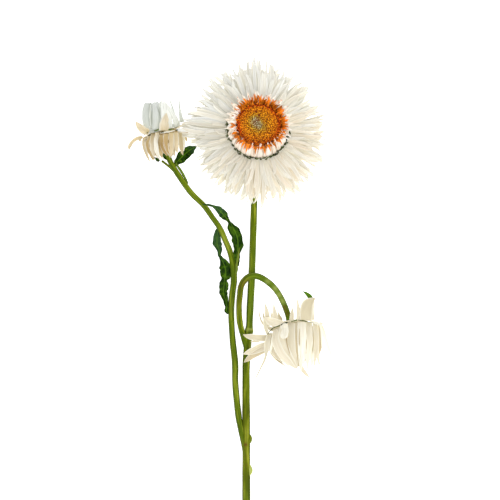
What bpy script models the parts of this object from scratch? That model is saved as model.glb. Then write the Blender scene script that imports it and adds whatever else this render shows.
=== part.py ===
"""A cut strawflower: one branching stem with an open bloom, two side blooms and its leaves.

It lies on a surface at Z 0. X runs across the flower, Y from the stem's cut end to the open bloom and
Z up. The origin is at the middle of the base of the flower's box. Lengths here are in millimetres and
become metres through MM.
"""
import math
import random

import bmesh
import bpy
from mathutils import Matrix, Vector

MM = 0.001
GAP = 0.3
BLADE_THICKNESS = 0.6
FLOOR = BLADE_THICKNESS / 2
RAGGED = 0.06
UP = Vector((0, 0, 1))

# The open bloom: its rays' middle, the way its disc faces and its main radii.
BLOOM_CENTRE = (11.2, 69.2, 16.0)
BLOOM_AXIS = (0.05, 0.31, 0.95)
RAY_REACH = 31.0
RAY_ROOT = 11.5
RAYS_A_LAYER = 28
RAY_WIDTH = 3.9
BESIDE_LEFT_BLOOM = (164, 200, 0.9)
COLLAR_RADIUS = 13.4
COLLAR_BRACTS = 16
DISC_RADIUS = 8.8
DISC_SEAT = 7.3
DISC_CROWN = 9.5
DISC_DROP = 1.0
DIMPLE_DEPTH = 0.7
DIMPLE_WIDTH = 0.25
FLORETS_ROUND = 20
FLORET_ROWS = 9
FLORET_RELIEF = 0.3

# The left bloom, seen from its side, and the nodding bloom at the end of the arch.
LEFT_CENTRE = (-29.4, 69.5, 9.4)
LEFT_AXIS = (-0.25, 0.965, 0.07)
LEFT_EQUATOR = 7.0
NODDING_CENTRE = (25.0, -13.4, 11.4)
NODDING_AXIS = (0.17, -0.95, 0.26)
NODDING_EQUATOR = 8.4

# How far behind a bloom's middle its core ends, where the stem is seated.
BLOOM_DEPTH = 9.0
LEFT_DEPTH = 4.9
NODDING_DEPTH = 3.0

# Stem runs as (x, y, z, radius), from the foot up. Each ends in a straight neck behind its bloom.
NECK = 1.5
MAIN_NECK_RADIUS = 1.5
SIDE_NECK_RADIUS = 1.2
CUT_END = -98.4
MAIN_STEM = (
    (6.4, CUT_END, 1.5, 1.65), (6.4, -82.0, 1.5, 1.65), (6.4, -62.6, 1.5, 1.62), (6.3, -39.1, 1.5, 1.55),
    (6.4, -28.6, 1.5, 1.52), (7.2, -17.6, 1.5, 1.55), (7.5, -14.9, 1.6, 1.85), (7.7, -12.6, 1.5, 1.45),
    (8.0, -5.0, 1.5, 1.45), (8.8, 10.9, 1.5, 1.42), (9.66, 37.4, 1.7, 1.35), (10.1, 52.0, 1.9, 1.32),
    (10.3, 59.5, 2.3, 1.32), (10.45, 63.0, 3.1, 1.35), (10.6, 65.0, 4.4, 1.4),
)
LEFT_BRANCH = (
    (6.2, -70.0, 1.5, 1.1), (4.2, -62.0, 1.5, 1.3), (3.36, -50.0, 1.4, 1.3), (2.1, -37.4, 1.4, 1.3),
    (1.68, -28.6, 1.5, 1.35), (0.63, -18.5, 1.5, 1.25), (0.05, -8.0, 1.7, 1.25), (0.42, 0.0, 1.9, 1.25),
    (1.2, 6.5, 2.1, 1.3), (0.84, 13.0, 2.4, 1.35), (-0.34, 18.1, 2.8, 1.2), (-2.2, 22.8, 3.3, 1.15),
    (-4.8, 28.6, 3.9, 1.15), (-7.85, 33.0, 4.6, 1.15), (-11.6, 38.2, 5.6, 1.15), (-17.2, 43.8, 6.9, 1.15),
    (-23.5, 52.9, 8.4, 1.15), (-26.5, 58.6, 8.8, 1.15),
)
ARCH = (
    (7.1, -25.0, 1.6, 0.9), (5.8, -19.6, 2.2, 1.15), (3.8, -11.8, 3.6, 1.2), (3.36, -5.0, 4.8, 1.2),
    (3.7, 0.0, 5.7, 1.2), (4.3, 4.2, 6.5, 1.25), (6.2, 7.1, 7.3, 1.3), (8.8, 8.4, 8.0, 1.3),
    (11.9, 8.0, 8.6, 1.3), (15.2, 6.1, 9.2, 1.25), (18.2, 3.4, 9.7, 1.2), (20.6, 0.0, 10.0, 1.2),
    (22.4, -3.7, 10.2, 1.15), (23.5, -6.6, 10.3, 1.15),
)
SIDE_SHOOT = ((-23.2, 51.8, 8.2, 0.6), (-26.0, 54.4, 7.4, 0.5), (-29.2, 56.9, 6.4, 0.5))
STUB = ((6.6, -61.4, 1.6, 0.8), (8.8, -59.8, 1.9, 0.5))
BUD_PLACE = (8.2, -73.8, 2.0)
BUD_SIZE = (0.9, 2.4, 0.9)

# Leaf spines as (x, y, z, width, turn in degrees about the spine), from the stalk to the tip.
LEAF_CREASE = 0.25
LEAF_CRINKLE = 0.12
RIGHT_LEAF = (
    (2.9, 12.4, 3.6, 1.2, 20), (2.8, 15.1, 3.9, 1.4, 20), (2.7, 17.6, 4.2, 2.4, 10),
    (2.9, 20.6, 4.5, 3.7, 0), (2.65, 24.4, 5.0, 4.4, -10), (1.05, 28.1, 5.4, 3.8, -20),
    (-0.6, 31.1, 5.9, 2.2, -50),
    (-2.1, 32.9, 6.4, 2.6, -20), (-3.7, 34.7, 7.0, 3.3, 10), (-5.4, 36.4, 7.6, 2.4, 20),
    (-7.4, 37.7, 8.2, 1.1, 10), (-9.9, 38.4, 8.7, 0.8, 0), (-12.6, 38.6, 8.9, 0.0, 0),
)
LEFT_LEAF = (
    (-2.1, -7.2, 1.6, 1.0, 0), (-2.7, -5.0, 1.6, 2.0, 10), (-3.3, -2.1, 1.5, 3.3, 10),
    (-3.6, 0.8, 1.3, 3.8, 0), (-3.4, 3.8, 1.2, 3.6, -10), (-2.9, 6.7, 1.2, 2.7, -10),
    (-3.1, 10.1, 1.2, 4.0, 0), (-3.5, 13.4, 1.3, 3.5, 10), (-4.3, 16.2, 1.5, 2.0, 55),
    (-4.9, 19.3, 1.6, 2.6, 20), (-5.6, 22.0, 1.5, 3.3, 0), (-6.1, 25.2, 1.3, 2.4, -10),
    (-6.4, 28.1, 1.1, 0.0, 0),
)
SMALL_LEAF = (
    (-22.1, 54.0, 7.4, 1.3, 30), (-21.0, 56.3, 5.8, 2.8, 20), (-19.1, 58.9, 4.2, 3.8, 10),
    (-17.2, 60.9, 3.0, 3.1, 0), (-15.6, 62.2, 2.2, 1.8, 0), (-14.5, 63.1, 1.8, 0.0, 0),
)
CALYX_LEAF = (
    (31.1, -9.9, 10.5, 1.5, 0), (31.9, -7.6, 9.8, 1.9, 0), (32.9, -5.2, 9.4, 2.0, 0),
    (33.4, -2.9, 9.3, 1.9, 0), (33.0, -0.9, 9.4, 1.6, 0), (31.9, 0.6, 9.4, 1.0, 0), (30.3, 1.7, 9.4, 0.0, 0),
)

# Colours as the eye meets them, with a roughness for the matt and the papery surfaces.
WHITE_BRACT = ((0.86, 0.85, 0.80), 0.55)
COLLAR_BRACT = ((0.86, 0.62, 0.38), 0.55)
CREAM_BRACT = ((0.80, 0.70, 0.52), 0.6)
ORANGE_FLORET = ((0.75, 0.27, 0.02), 0.75)
GREEN_STEM = ((0.22, 0.30, 0.04), 0.5)
GREEN_LEAF = ((0.03, 0.10, 0.01), 0.55)
STRAW_SCALE = ((0.42, 0.40, 0.16), 0.7)


def new_collection(name):
    """Empty collection linked to the scene."""
    group = bpy.data.collections.new(name)
    bpy.context.scene.collection.children.link(group)
    return group


def material(name, look):
    """Principled material from a colour and a roughness."""
    colour, roughness = look
    made = bpy.data.materials.new(name)
    made.use_nodes = True
    shader = made.node_tree.nodes["Principled BSDF"]
    shader.inputs["Base Color"].default_value = (*colour, 1)
    shader.inputs["Roughness"].default_value = roughness
    shader.inputs["Metallic"].default_value = 0.0
    return made


def bloom_frame(name, centre, axis, facing, parts):
    """Empty at a bloom's middle, with Z along the bloom's axis and Y towards a facing side."""
    z = Vector(axis).normalized()
    y = (Vector(facing) - z * z.dot(Vector(facing))).normalized()
    turn = Matrix((y.cross(z), y, z)).transposed().to_4x4()
    frame = bpy.data.objects.new(name, None)
    frame.matrix_world = Matrix.Translation(Vector(centre) * MM) @ turn
    parts.objects.link(frame)
    return frame


def apply_modifiers(thing):
    """Turn an object and its modifiers into one plain mesh."""
    bpy.context.view_layer.update()
    graph = bpy.context.evaluated_depsgraph_get()
    mesh = bpy.data.meshes.new_from_object(thing.evaluated_get(graph))
    thing.modifiers.clear()
    thing.data = mesh


def island_of(start):
    """Vertices joined to a first one by edges."""
    found = {start}
    edge = [start]
    while edge:
        vertex = edge.pop()
        for link in vertex.link_edges:
            other = link.other_vert(vertex)
            if other not in found:
                found.add(other)
                edge.append(other)
    return found


def keep_outer_body(mesh):
    """Weld what touches, and keep the largest body: loose scraps go and sealed hollows fill."""
    work = bmesh.new()
    work.from_mesh(mesh)
    bmesh.ops.remove_doubles(work, verts=work.verts, dist=2e-6)
    bmesh.ops.dissolve_degenerate(work, edges=work.edges, dist=1e-6)
    bodies = []
    left = set(work.verts)
    while left:
        body = island_of(next(iter(left)))
        bodies.append(body)
        left -= body
    bodies.sort(key=len)
    for scrap in bodies[:-1]:
        bmesh.ops.delete(work, geom=list(scrap), context="VERTS")
    bmesh.ops.triangulate(work, faces=work.faces)
    work.to_mesh(mesh)
    work.free()


def fuse(core, group):
    """Join every body of a collection to the core, then drop the collection."""
    union = core.modifiers.new("fuse", "BOOLEAN")
    union.operation = "UNION"
    union.operand_type = "COLLECTION"
    union.collection = group
    union.solver = "EXACT"
    apply_modifiers(core)
    keep_outer_body(core.data)
    for blade in list(group.objects):
        bpy.data.objects.remove(blade)
    bpy.data.collections.remove(group)


def finish(thing, look):
    """Give a finished node its one material and smooth shading with crisp edges."""
    thing.data.materials.clear()
    thing.data.materials.append(look)
    thing.data.shade_smooth()
    thing.data.set_sharp_from_angle(angle=math.radians(40))


def turned(name, profile, steps, frame, parts):
    """Body turned about the frame's Z from a profile of (radius, height), top to bottom."""
    mesh = bpy.data.meshes.new(name)
    work = bmesh.new()
    points = [work.verts.new((radius * MM, 0, height * MM)) for radius, height in profile]
    for above, below in zip(points, points[1:]):
        work.edges.new((above, below))
    work.to_mesh(mesh)
    work.free()
    body = bpy.data.objects.new(name, mesh)
    parts.objects.link(body)
    body.parent = frame
    screw = body.modifiers.new("turn", "SCREW")
    screw.steps = steps
    screw.render_steps = steps
    screw.use_merge_vertices = True
    screw.merge_threshold = 0.00001
    return body


def blade(name, rows, group, frame=None):
    """Thin solid through rows of points, split into triangles alike on both sides of its rib."""
    mesh = bpy.data.meshes.new(name)
    work = bmesh.new()
    lines = [[work.verts.new(point * MM) for point in row] for row in rows]
    for lower, upper in zip(lines, lines[1:]):
        if len(upper) == 1:
            for near, far in zip(lower, lower[1:]):
                work.faces.new((near, far, upper[0]))
            continue
        half = len(lower) // 2
        for column in range(len(lower) - 1):
            a, b = lower[column], lower[column + 1]
            d, c = upper[column], upper[column + 1]
            corners = ((a, b, c), (a, c, d)) if column < half else ((a, b, d), (b, c, d))
            for corner in corners:
                work.faces.new(corner)
    work.to_mesh(mesh)
    work.free()
    made = bpy.data.objects.new(name, mesh)
    group.objects.link(made)
    made.parent = frame
    shell = made.modifiers.new("thickness", "SOLIDIFY")
    shell.thickness = BLADE_THICKNESS * MM
    shell.offset = 0
    return made


def above_floor(point, frame):
    """The point, in a frame's own millimetres, raised until it lies on or above the surface."""
    world = frame.matrix_world @ (point * MM)
    short = FLOOR - world.z / MM
    if short <= 0:
        return point
    return point + frame.matrix_world.to_3x3().inverted() @ (UP * short)


def bract(group, frame, turn, profile, reach=1.0, sway=0.0, channel=0.3, spread=1.0):
    """Bract whose side view is a profile of (distance from the axis, height, width)."""
    first = profile[0]
    last = len(profile) - 1
    rows = []
    for step, (radius, height, width) in enumerate(profile):
        angle = math.radians(turn + sway * step / last)
        out = Vector((math.cos(angle), math.sin(angle), 0))
        across = Vector((-math.sin(angle), math.cos(angle), 0))
        before, after = profile[max(step - 1, 0)], profile[min(step + 1, last)]
        along = (out * (after[0] - before[0]) + UP * (after[1] - before[1])).normalized()
        face = along.cross(across)
        middle = out * (first[0] + (radius - first[0]) * reach)
        middle += UP * (first[1] + (height - first[1]) * reach)
        if width == 0:
            rows.append([above_floor(middle, frame)])
            continue
        edge = across * width * spread / 2
        fold = face * channel
        row = (middle - edge + fold, middle, middle + edge + fold)
        rows.append([above_floor(point, frame) for point in row])
    return blade("bract", rows, group, frame)


def ring(group, frame, count, profile, start=0.0, channel=0.3, seed=1, skip=(), short=None):
    """Ring of bracts, each a little longer, wider or more swayed than the next.

    No bract grows in the sectors to skip, and those in the short one, (from, to, share), are cut back.
    """
    draw = random.Random(seed)
    step = 360 / count
    for number in range(count):
        turn = (start + number * step) % 360
        reach = 1 + draw.uniform(-RAGGED, RAGGED)
        sway = draw.uniform(-0.11, 0.11) * step
        spread = draw.uniform(0.9, 1.06)
        if any(low <= turn <= high for low, high in skip):
            continue
        if short and short[0] <= turn <= short[1]:
            reach *= short[2]
        bract(group, frame, turn, profile, reach, sway, channel, spread)


def ray_profile(rise, droop):
    """Side view of a ray that leaves the receptacle, rises or falls, and droops at its tip."""
    shares = ((0.0, 0.48), (0.3, 0.76), (0.76, 0.96), (1.0, 0.0))
    length = RAY_REACH - RAY_ROOT
    return [
        (RAY_ROOT + length * share, rise[0] + rise[1] * share - droop * share ** 3, RAY_WIDTH * wide)
        for share, wide in shares
    ]


def open_bloom_rays(frame, parts):
    """Three layers of white rays sunk in a flat core, the lowest folded back to the surface."""
    core = turned("main_bloom_rays", (
        (0, 0.9), (12.9, 0.9), (14.2, 0.2), (14.2, -1.6), (12.0, -2.4), (0, -2.4),
    ), 28, frame, parts)
    group = new_collection("rays")
    step = 360 / RAYS_A_LAYER
    layers = ((-0.3, 4.4, 1.0), (-0.8, 0.2, 1.4), (-1.4, -4.6, 2.2))
    for number, (root, climb, droop) in enumerate(layers):
        profile = ray_profile((root, climb), droop)
        start = number * step / 3
        ring(group, frame, RAYS_A_LAYER, profile, start, seed=11 + number, short=BESIDE_LEFT_BLOOM)
    fuse(core, group)
    return core


def open_bloom_collar(frame, parts):
    """Upright bracts round the disc, which lean in and then turn their tips out."""
    core = turned("main_bloom_collar", (
        (0, 7.0), (8.8, 7.0), (9.8, 6.4), (12.3, 3.5), (12.9, 1.2), (0, 1.2),
    ), 28, frame, parts)
    group = new_collection("collar")
    outer = ((COLLAR_RADIUS - 1.2, 1.7, 2.4), (12.7, 4.4, 2.7), (11.3, 7.7, 1.6), (12.7, 9.0, 0))
    inner = ((9.9, 5.4, 1.9), (10.3, 8.4, 1.5), (11.5, 10.0, 0))
    ring(group, frame, COLLAR_BRACTS, outer, channel=-0.2, seed=21)
    ring(group, frame, COLLAR_BRACTS, inner, start=11.0, channel=-0.1, seed=22)
    fuse(core, group)
    return core


def open_bloom_disc(frame, parts):
    """Domed disc whose florets stand in rows, each row half a floret on from the last."""
    top = []
    for row in range(FLORET_ROWS + 1):
        share = row / FLORET_ROWS
        dip = DIMPLE_DEPTH * math.exp(-((share / DIMPLE_WIDTH) ** 2))
        top.append((DISC_RADIUS * share, DISC_CROWN - DISC_DROP * share ** 4 - dip))
    profile = top + [(DISC_RADIUS, DISC_SEAT + 0.4), (DISC_RADIUS - 0.5, DISC_SEAT), (0, DISC_SEAT)]
    disc = turned("main_bloom_disc", profile, 2 * FLORETS_ROUND, frame, parts)
    apply_modifiers(disc)
    lowest_floret = (DISC_CROWN - DISC_DROP - FLORET_RELIEF) * MM
    for vertex in disc.data.vertices:
        radius = math.hypot(vertex.co.x, vertex.co.y) / MM
        row = round(radius / DISC_RADIUS * FLORET_ROWS)
        if vertex.co.z < lowest_floret or row == 0:
            continue
        angle = math.atan2(vertex.co.y, vertex.co.x)
        vertex.co.z += FLORET_RELIEF * MM * math.cos(FLORETS_ROUND * angle + math.pi * row)
    return disc


def open_bloom_receptacle(frame, parts):
    """Cone behind the rays with two rows of small scales."""
    core = turned("main_bloom_receptacle", (
        (0, -2.7), (10.6, -2.7), (10.2, -3.4), (6.5, -5.8), (3.2, -7.8), (2.0, -BLOOM_DEPTH),
        (0, -BLOOM_DEPTH),
    ), 24, frame, parts)
    group = new_collection("scales")
    upper = ((7.6, -4.0, 3.0), (11.2, -4.6, 3.6), (14.2, -4.4, 0))
    lower = ((4.0, -6.2, 2.2), (7.4, -6.7, 3.0), (10.4, -6.3, 0))
    ring(group, frame, 10, upper, seed=31)
    ring(group, frame, 6, lower, start=12.0, seed=32)
    fuse(core, group)
    return core


def left_bloom_white(frame, parts):
    """Half closed white bracts that stand up from the left bloom's equator."""
    core = turned("left_bloom_white_bracts", (
        (0, 3.2), (4.4, 2.8), (6.0, 1.4), (6.0, 0.3), (0, 0.3),
    ), 24, frame, parts)
    group = new_collection("white bracts")
    outer = ((5.3, 0.9, 2.3), (7.6, 3.4, 3.6), (8.4, 7.2, 3.7), (7.4, 10.4, 2.5), (6.4, 12.4, 0))
    middle = ((4.0, 1.8, 2.2), (5.5, 4.6, 3.2), (5.9, 8.6, 3.0), (4.8, 12.2, 0))
    inner = ((2.0, 2.4, 1.6), (3.1, 5.5, 2.6), (2.9, 9.5, 2.2), (2.0, 12.0, 0))
    spike = ((4.9, 1.0, 1.8), (7.2, 4.6, 1.5), (9.4, 9.4, 1.0), (10.6, 13.4, 0))
    ring(group, frame, 10, outer, seed=41)
    ring(group, frame, 7, middle, start=16.0, seed=42)
    ring(group, frame, 4, inner, start=30.0, seed=43)
    bract(group, frame, 172, spike)
    bract(group, frame, 140, spike, reach=0.94)
    fuse(core, group)
    return core


def left_bloom_cream(frame, parts):
    """Cream bracts on the left bloom's back: most fold over the stem and a few stand up."""
    core = turned("left_bloom_cream_bracts", (
        (0, 0.0), (5.8, 0.0), (LEFT_EQUATOR, -0.5), (6.2, -2.2), (3.6, -4.0), (0, -LEFT_DEPTH),
    ), 24, frame, parts)
    group = new_collection("cream bracts")
    skirt = ((6.0, -1.1, 2.4), (8.2, -1.5, 3.2), (9.3, -4.4, 3.6), (9.2, -8.2, 2.9), (8.4, -11.8, 0))
    lining = ((4.8, -2.5, 2.0), (6.7, -4.2, 3.0), (7.2, -8.0, 2.6), (6.4, -12.4, 0))
    standing = ((5.4, -0.9, 3.4), (8.6, -0.2, 4.4), (10.4, 3.0, 3.6), (10.2, 7.2, 0))
    strand = ((5.4, -0.9, 1.8), (9.5, -0.4, 1.8), (12.5, -1.4, 1.8), (14.6, -3.2, 1.6), (15.6, -4.8, 0))
    beside_leaf = (175, 250)
    ring(group, frame, 12, skirt, start=10.0, channel=-0.3, seed=51, skip=(beside_leaf,))
    ring(group, frame, 7, lining, start=22.0, channel=-0.3, seed=52, skip=(beside_leaf,))
    for turn in (190, 215, 240):
        bract(group, frame, turn, skirt, reach=0.72, channel=-0.3)
    for turn, reach in ((116, 1.0), (32, 1.0), (300, 0.9)):
        bract(group, frame, turn, standing, reach)
    bract(group, frame, -4, strand)
    fuse(core, group)
    return core


def nodding_bloom_hanging(frame, parts):
    """Long bracts of the nodding bloom, which hang as a bell with stray ones at its sides."""
    core = turned("nodding_bloom_hanging_bracts", (
        (0, 5.2), (4.5, 4.6), (7.2, 2.4), (7.6, 0.3), (0, 0.3),
    ), 24, frame, parts)
    group = new_collection("hanging bracts")
    outer = ((6.7, 1.2, 3.0), (9.8, 3.8, 4.7), (10.9, 9.2, 5.0), (9.8, 15.2, 3.9), (7.6, 20.2, 0))
    middle = ((5.3, 2.8, 2.8), (7.3, 6.6, 4.2), (7.8, 13.0, 3.8), (5.6, 20.4, 0))
    inner = ((2.8, 3.9, 2.0), (4.4, 9.0, 3.2), (4.2, 15.0, 2.8), (2.8, 20.6, 0))
    ring(group, frame, 11, outer, start=8.0, channel=-0.35, seed=61)
    ring(group, frame, 7, middle, start=26.0, channel=-0.35, seed=62)
    ring(group, frame, 4, inner, start=10.0, seed=63)
    strays = (
        (172, ((6.4, 1.4, 3.0), (11.5, 2.6, 3.4), (16.0, 2.0, 3.2), (20.6, 0.4, 0))),
        (168, ((6.8, 2.4, 3.4), (12.4, 6.6, 4.2), (17.5, 7.4, 4.0), (22.0, 8.6, 0))),
        (176, ((7.0, 3.2, 1.8), (11.6, 9.4, 1.6), (14.6, 14.0, 1.2), (17.4, 18.2, 0))),
        (8, ((6.8, 1.6, 2.0), (11.4, 5.0, 2.0), (13.4, 10.6, 1.6), (15.4, 16.0, 0))),
        (30, ((6.8, 2.0, 2.2), (11.6, 7.0, 2.2), (12.4, 13.0, 1.8), (12.2, 19.0, 0))),
    )
    for turn, profile in strays:
        bract(group, frame, turn, profile, channel=0.2)
    fuse(core, group)
    return core


def nodding_bloom_folded(frame, parts):
    """Bracts of the nodding bloom that fold back up round the end of the arch."""
    core = turned("nodding_bloom_folded_bracts", (
        (0, 0.0), (7.0, 0.0), (NODDING_EQUATOR, -0.6), (6.4, -1.8), (2.6, -2.8), (0, -NODDING_DEPTH),
    ), 24, frame, parts)
    group = new_collection("folded bracts")
    back = ((6.2, -0.9, 3.6), (9.6, -1.8, 4.4), (11.6, -4.6, 3.8), (11.9, -8.0, 2.4), (11.4, -11.0, 0))
    broad = ((6.0, -0.9, 5.0), (9.6, -1.2, 6.4), (13.2, -4.6, 6.0), (14.4, -8.4, 3.6), (15.2, -11.6, 0))
    flat = ((6.2, -0.9, 3.6), (9.2, -1.2, 5.0), (11.8, -2.0, 5.2), (14.0, -3.4, 3.4), (15.2, -4.6, 0))
    hidden_leaf = (320, 360)
    ring(group, frame, 11, back, start=12.0, channel=-0.3, seed=71, skip=((20, 155), hidden_leaf))
    bract(group, frame, 38, broad, channel=-0.4)
    bract(group, frame, 66, back, reach=1.02, channel=-0.3, spread=0.7)
    bract(group, frame, 138, flat, channel=-0.3)
    fuse(core, group)
    return core


def neck(centre, axis, depth, radius):
    """Last two points of a stem, straight behind a bloom, which end a gap short of its core."""
    back = Vector(axis).normalized()
    seat = Vector(centre) - back * (depth + GAP)
    return (*(seat - back * NECK), radius), (*seat, radius)


def tube(name, run, group):
    """Round rod along a run of (x, y, z, radius), as a mesh."""
    curve = bpy.data.curves.new(name, "CURVE")
    curve.dimensions = "3D"
    curve.bevel_depth = MM
    curve.bevel_resolution = 3
    curve.use_fill_caps = True
    spline = curve.splines.new("POLY")
    spline.points.add(len(run) - 1)
    for place, (x, y, z, radius) in zip(spline.points, run):
        place.co = (x * MM, y * MM, z * MM, 1)
        place.radius = radius
    rod = bpy.data.objects.new(name + "_curve", curve)
    group.objects.link(rod)
    bpy.context.view_layer.update()
    graph = bpy.context.evaluated_depsgraph_get()
    mesh = bpy.data.meshes.new_from_object(rod.evaluated_get(graph))
    bpy.data.objects.remove(rod)
    work = bmesh.new()
    work.from_mesh(mesh)
    bmesh.ops.remove_doubles(work, verts=work.verts, dist=1e-6)
    work.to_mesh(mesh)
    work.free()
    made = bpy.data.objects.new(name, mesh)
    group.objects.link(made)
    return made


def stem(parts):
    """Main stem, both branches, a side shoot, a stub and a bud, grown together as one piece.

    Its underside is pressed flat where it lies on the surface.
    """
    main_run = MAIN_STEM + neck(BLOOM_CENTRE, BLOOM_AXIS, BLOOM_DEPTH, MAIN_NECK_RADIUS)
    left_run = LEFT_BRANCH + neck(LEFT_CENTRE, LEFT_AXIS, LEFT_DEPTH, SIDE_NECK_RADIUS)
    arch_run = ARCH + neck(NODDING_CENTRE, NODDING_AXIS, NODDING_DEPTH, SIDE_NECK_RADIUS)
    body = tube("stem", main_run, parts)
    group = new_collection("branches")
    tube("left_branch", left_run, group)
    tube("arch", arch_run, group)
    tube("side_shoot", SIDE_SHOOT, group)
    tube("stub", STUB, group)
    mesh = bpy.data.meshes.new("bud")
    work = bmesh.new()
    bmesh.ops.create_uvsphere(work, u_segments=8, v_segments=6, radius=MM)
    work.to_mesh(mesh)
    work.free()
    mesh.transform(Matrix.Diagonal((*BUD_SIZE, 1)))
    bud = bpy.data.objects.new("bud", mesh)
    bud.location = Vector(BUD_PLACE) * MM
    group.objects.link(bud)
    fuse(body, group)
    for vertex in body.data.vertices:
        vertex.co.z = max(vertex.co.z, 0)
    return body


def leaf(name, run, parts):
    """Leaf blade along a spine, creased at its rib and crinkled along its edges."""
    last = len(run) - 1
    rows = []
    for step, (x, y, z, width, turn) in enumerate(run):
        middle = Vector((x, y, z))
        before, after = run[max(step - 1, 0)], run[min(step + 1, last)]
        along = Vector(after[:3]) - Vector(before[:3])
        flat = along.cross(UP).normalized()
        tilt = Matrix.Rotation(math.radians(turn), 3, along.normalized())
        side = tilt @ flat
        face = side.cross(along).normalized()
        if step == last:
            rows.append([middle])
            continue
        crinkle = LEAF_CRINKLE * width * math.cos(step * math.pi)
        edge = side * width / 2
        row = [
            middle - edge + face * (LEAF_CREASE + crinkle),
            middle,
            middle + edge + face * (LEAF_CREASE - crinkle),
        ]
        for point in row:
            point.z = max(point.z, FLOOR)
        rows.append(row)
    return blade(name, rows, parts)


def main():
    for thing in list(bpy.data.objects):
        bpy.data.objects.remove(thing)
    parts = new_collection("strawflower")
    white = material("white bract", WHITE_BRACT)
    collar = material("collar bract", COLLAR_BRACT)
    cream = material("cream bract", CREAM_BRACT)
    orange = material("orange floret", ORANGE_FLORET)
    green = material("green stem", GREEN_STEM)
    dark_green = material("green leaf", GREEN_LEAF)
    straw = material("straw scale", STRAW_SCALE)

    finish(stem(parts), green)

    bloom = bloom_frame("open_bloom", BLOOM_CENTRE, BLOOM_AXIS, (0, 1, 0), parts)
    finish(open_bloom_rays(bloom, parts), white)
    finish(open_bloom_collar(bloom, parts), collar)
    finish(open_bloom_disc(bloom, parts), orange)
    finish(open_bloom_receptacle(bloom, parts), straw)

    left = bloom_frame("left_bloom", LEFT_CENTRE, LEFT_AXIS, UP, parts)
    finish(left_bloom_white(left, parts), white)
    finish(left_bloom_cream(left, parts), cream)

    nodding = bloom_frame("nodding_bloom", NODDING_CENTRE, NODDING_AXIS, UP, parts)
    finish(nodding_bloom_hanging(nodding, parts), cream)
    finish(nodding_bloom_folded(nodding, parts), cream)

    for name, run in (
        ("right_leaf", RIGHT_LEAF),
        ("left_leaf", LEFT_LEAF),
        ("small_leaf", SMALL_LEAF),
        ("calyx_leaf", CALYX_LEAF),
    ):
        finish(leaf(name, run, parts), dark_green)


main()
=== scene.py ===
"""Looks of a cut strawflower stem: papery bracts, florets, ribbed stems and crinkled leaves.

Lengths are in millimetres and become metres through MM. The flower lies on a white table and the
camera looks straight down on it, with the open bloom at the top of the picture.
"""

import math

import bpy
import numpy as np
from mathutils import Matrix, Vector


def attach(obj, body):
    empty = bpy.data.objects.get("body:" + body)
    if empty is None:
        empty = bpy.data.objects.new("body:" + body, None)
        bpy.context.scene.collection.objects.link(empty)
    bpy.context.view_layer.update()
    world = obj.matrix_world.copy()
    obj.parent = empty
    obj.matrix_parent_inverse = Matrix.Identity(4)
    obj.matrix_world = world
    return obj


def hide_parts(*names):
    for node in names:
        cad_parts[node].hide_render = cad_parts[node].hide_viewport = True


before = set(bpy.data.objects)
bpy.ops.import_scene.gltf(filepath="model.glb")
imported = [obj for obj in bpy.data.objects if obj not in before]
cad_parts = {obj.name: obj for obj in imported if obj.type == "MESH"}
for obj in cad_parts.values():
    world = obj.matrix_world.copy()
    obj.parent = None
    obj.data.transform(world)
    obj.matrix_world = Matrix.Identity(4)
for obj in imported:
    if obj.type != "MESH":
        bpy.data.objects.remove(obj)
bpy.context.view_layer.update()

MM = 0.001
UP = np.array((0.0, 0.0, 1.0))
TABLE_TOP = 0.0
LIE = 0.05
GOLDEN_ANGLE = math.pi * (3 - math.sqrt(5))

# The camera: the photo is 210 mm wide at the height of the blooms.
SIGHT = (7.98, 19.32)
SIGHT_HEIGHT = 14.0
CAMERA_DISTANCE = 1500.0
PICTURE_WIDTH = 210.0
SENSOR = 36.0

# The three heads: middle, the way each faces, and the side that its own Y points to.
OPEN_BLOOM = ((11.2, 69.2, 16.0), (0.05, 0.31, 0.95), (0, 1, 0))
LEFT_BLOOM = ((-29.4, 69.5, 9.4), (-0.25, 0.965, 0.07), (0, 0, 1))
NODDING_BLOOM = ((25.0, -13.4, 11.4), (0.17, -0.95, 0.26), (0, 0, 1))
OPEN_DEPTH = 9.0
LEFT_DEPTH = 4.9
NODDING_DEPTH = 3.0
GAP = 0.3
NECK = 1.5
NARROWEST = 0.05


def unit(vectors):
    """Vectors of length one along the last axis."""
    return vectors / np.maximum(np.linalg.norm(vectors, axis=-1, keepdims=True), 1e-9)


def smooth(points, at):
    """Values read from a smooth curve through a few given ones, at shares 0 to 1 of the way."""
    points = np.asarray(points, float)
    flat = points.ndim == 1
    if flat:
        points = points[:, None]
    padded = np.vstack([2 * points[0] - points[1], points, 2 * points[-1] - points[-2]])
    place = np.clip(at, 0, 1) * (len(points) - 1)
    first = np.minimum(np.floor(place).astype(int), len(points) - 2)
    t = (place - first)[..., None]
    a, b, c, d = (padded[first + step] for step in range(4))
    bend = (2 * a - 5 * b + 4 * c - d) * t ** 2 + (3 * b - a - 3 * c + d) * t ** 3
    value = 0.5 * (2 * b + (c - a) * t + bend)
    return value[..., 0] if flat else value


class Place:
    """A head's own frame: Z along the way it faces, Y to its chosen side."""

    def __init__(self, centre, axis, facing):
        self.centre = np.array(centre, float)
        z = unit(np.array(axis, float))
        y = unit(np.array(facing, float) - z * z.dot(facing))
        self.turn = np.column_stack([np.cross(y, z), y, z])

    def world(self, local):
        return self.centre + np.asarray(local, float) @ self.turn.T

    def direction(self, local):
        return np.asarray(local, float) @ self.turn.T


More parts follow.
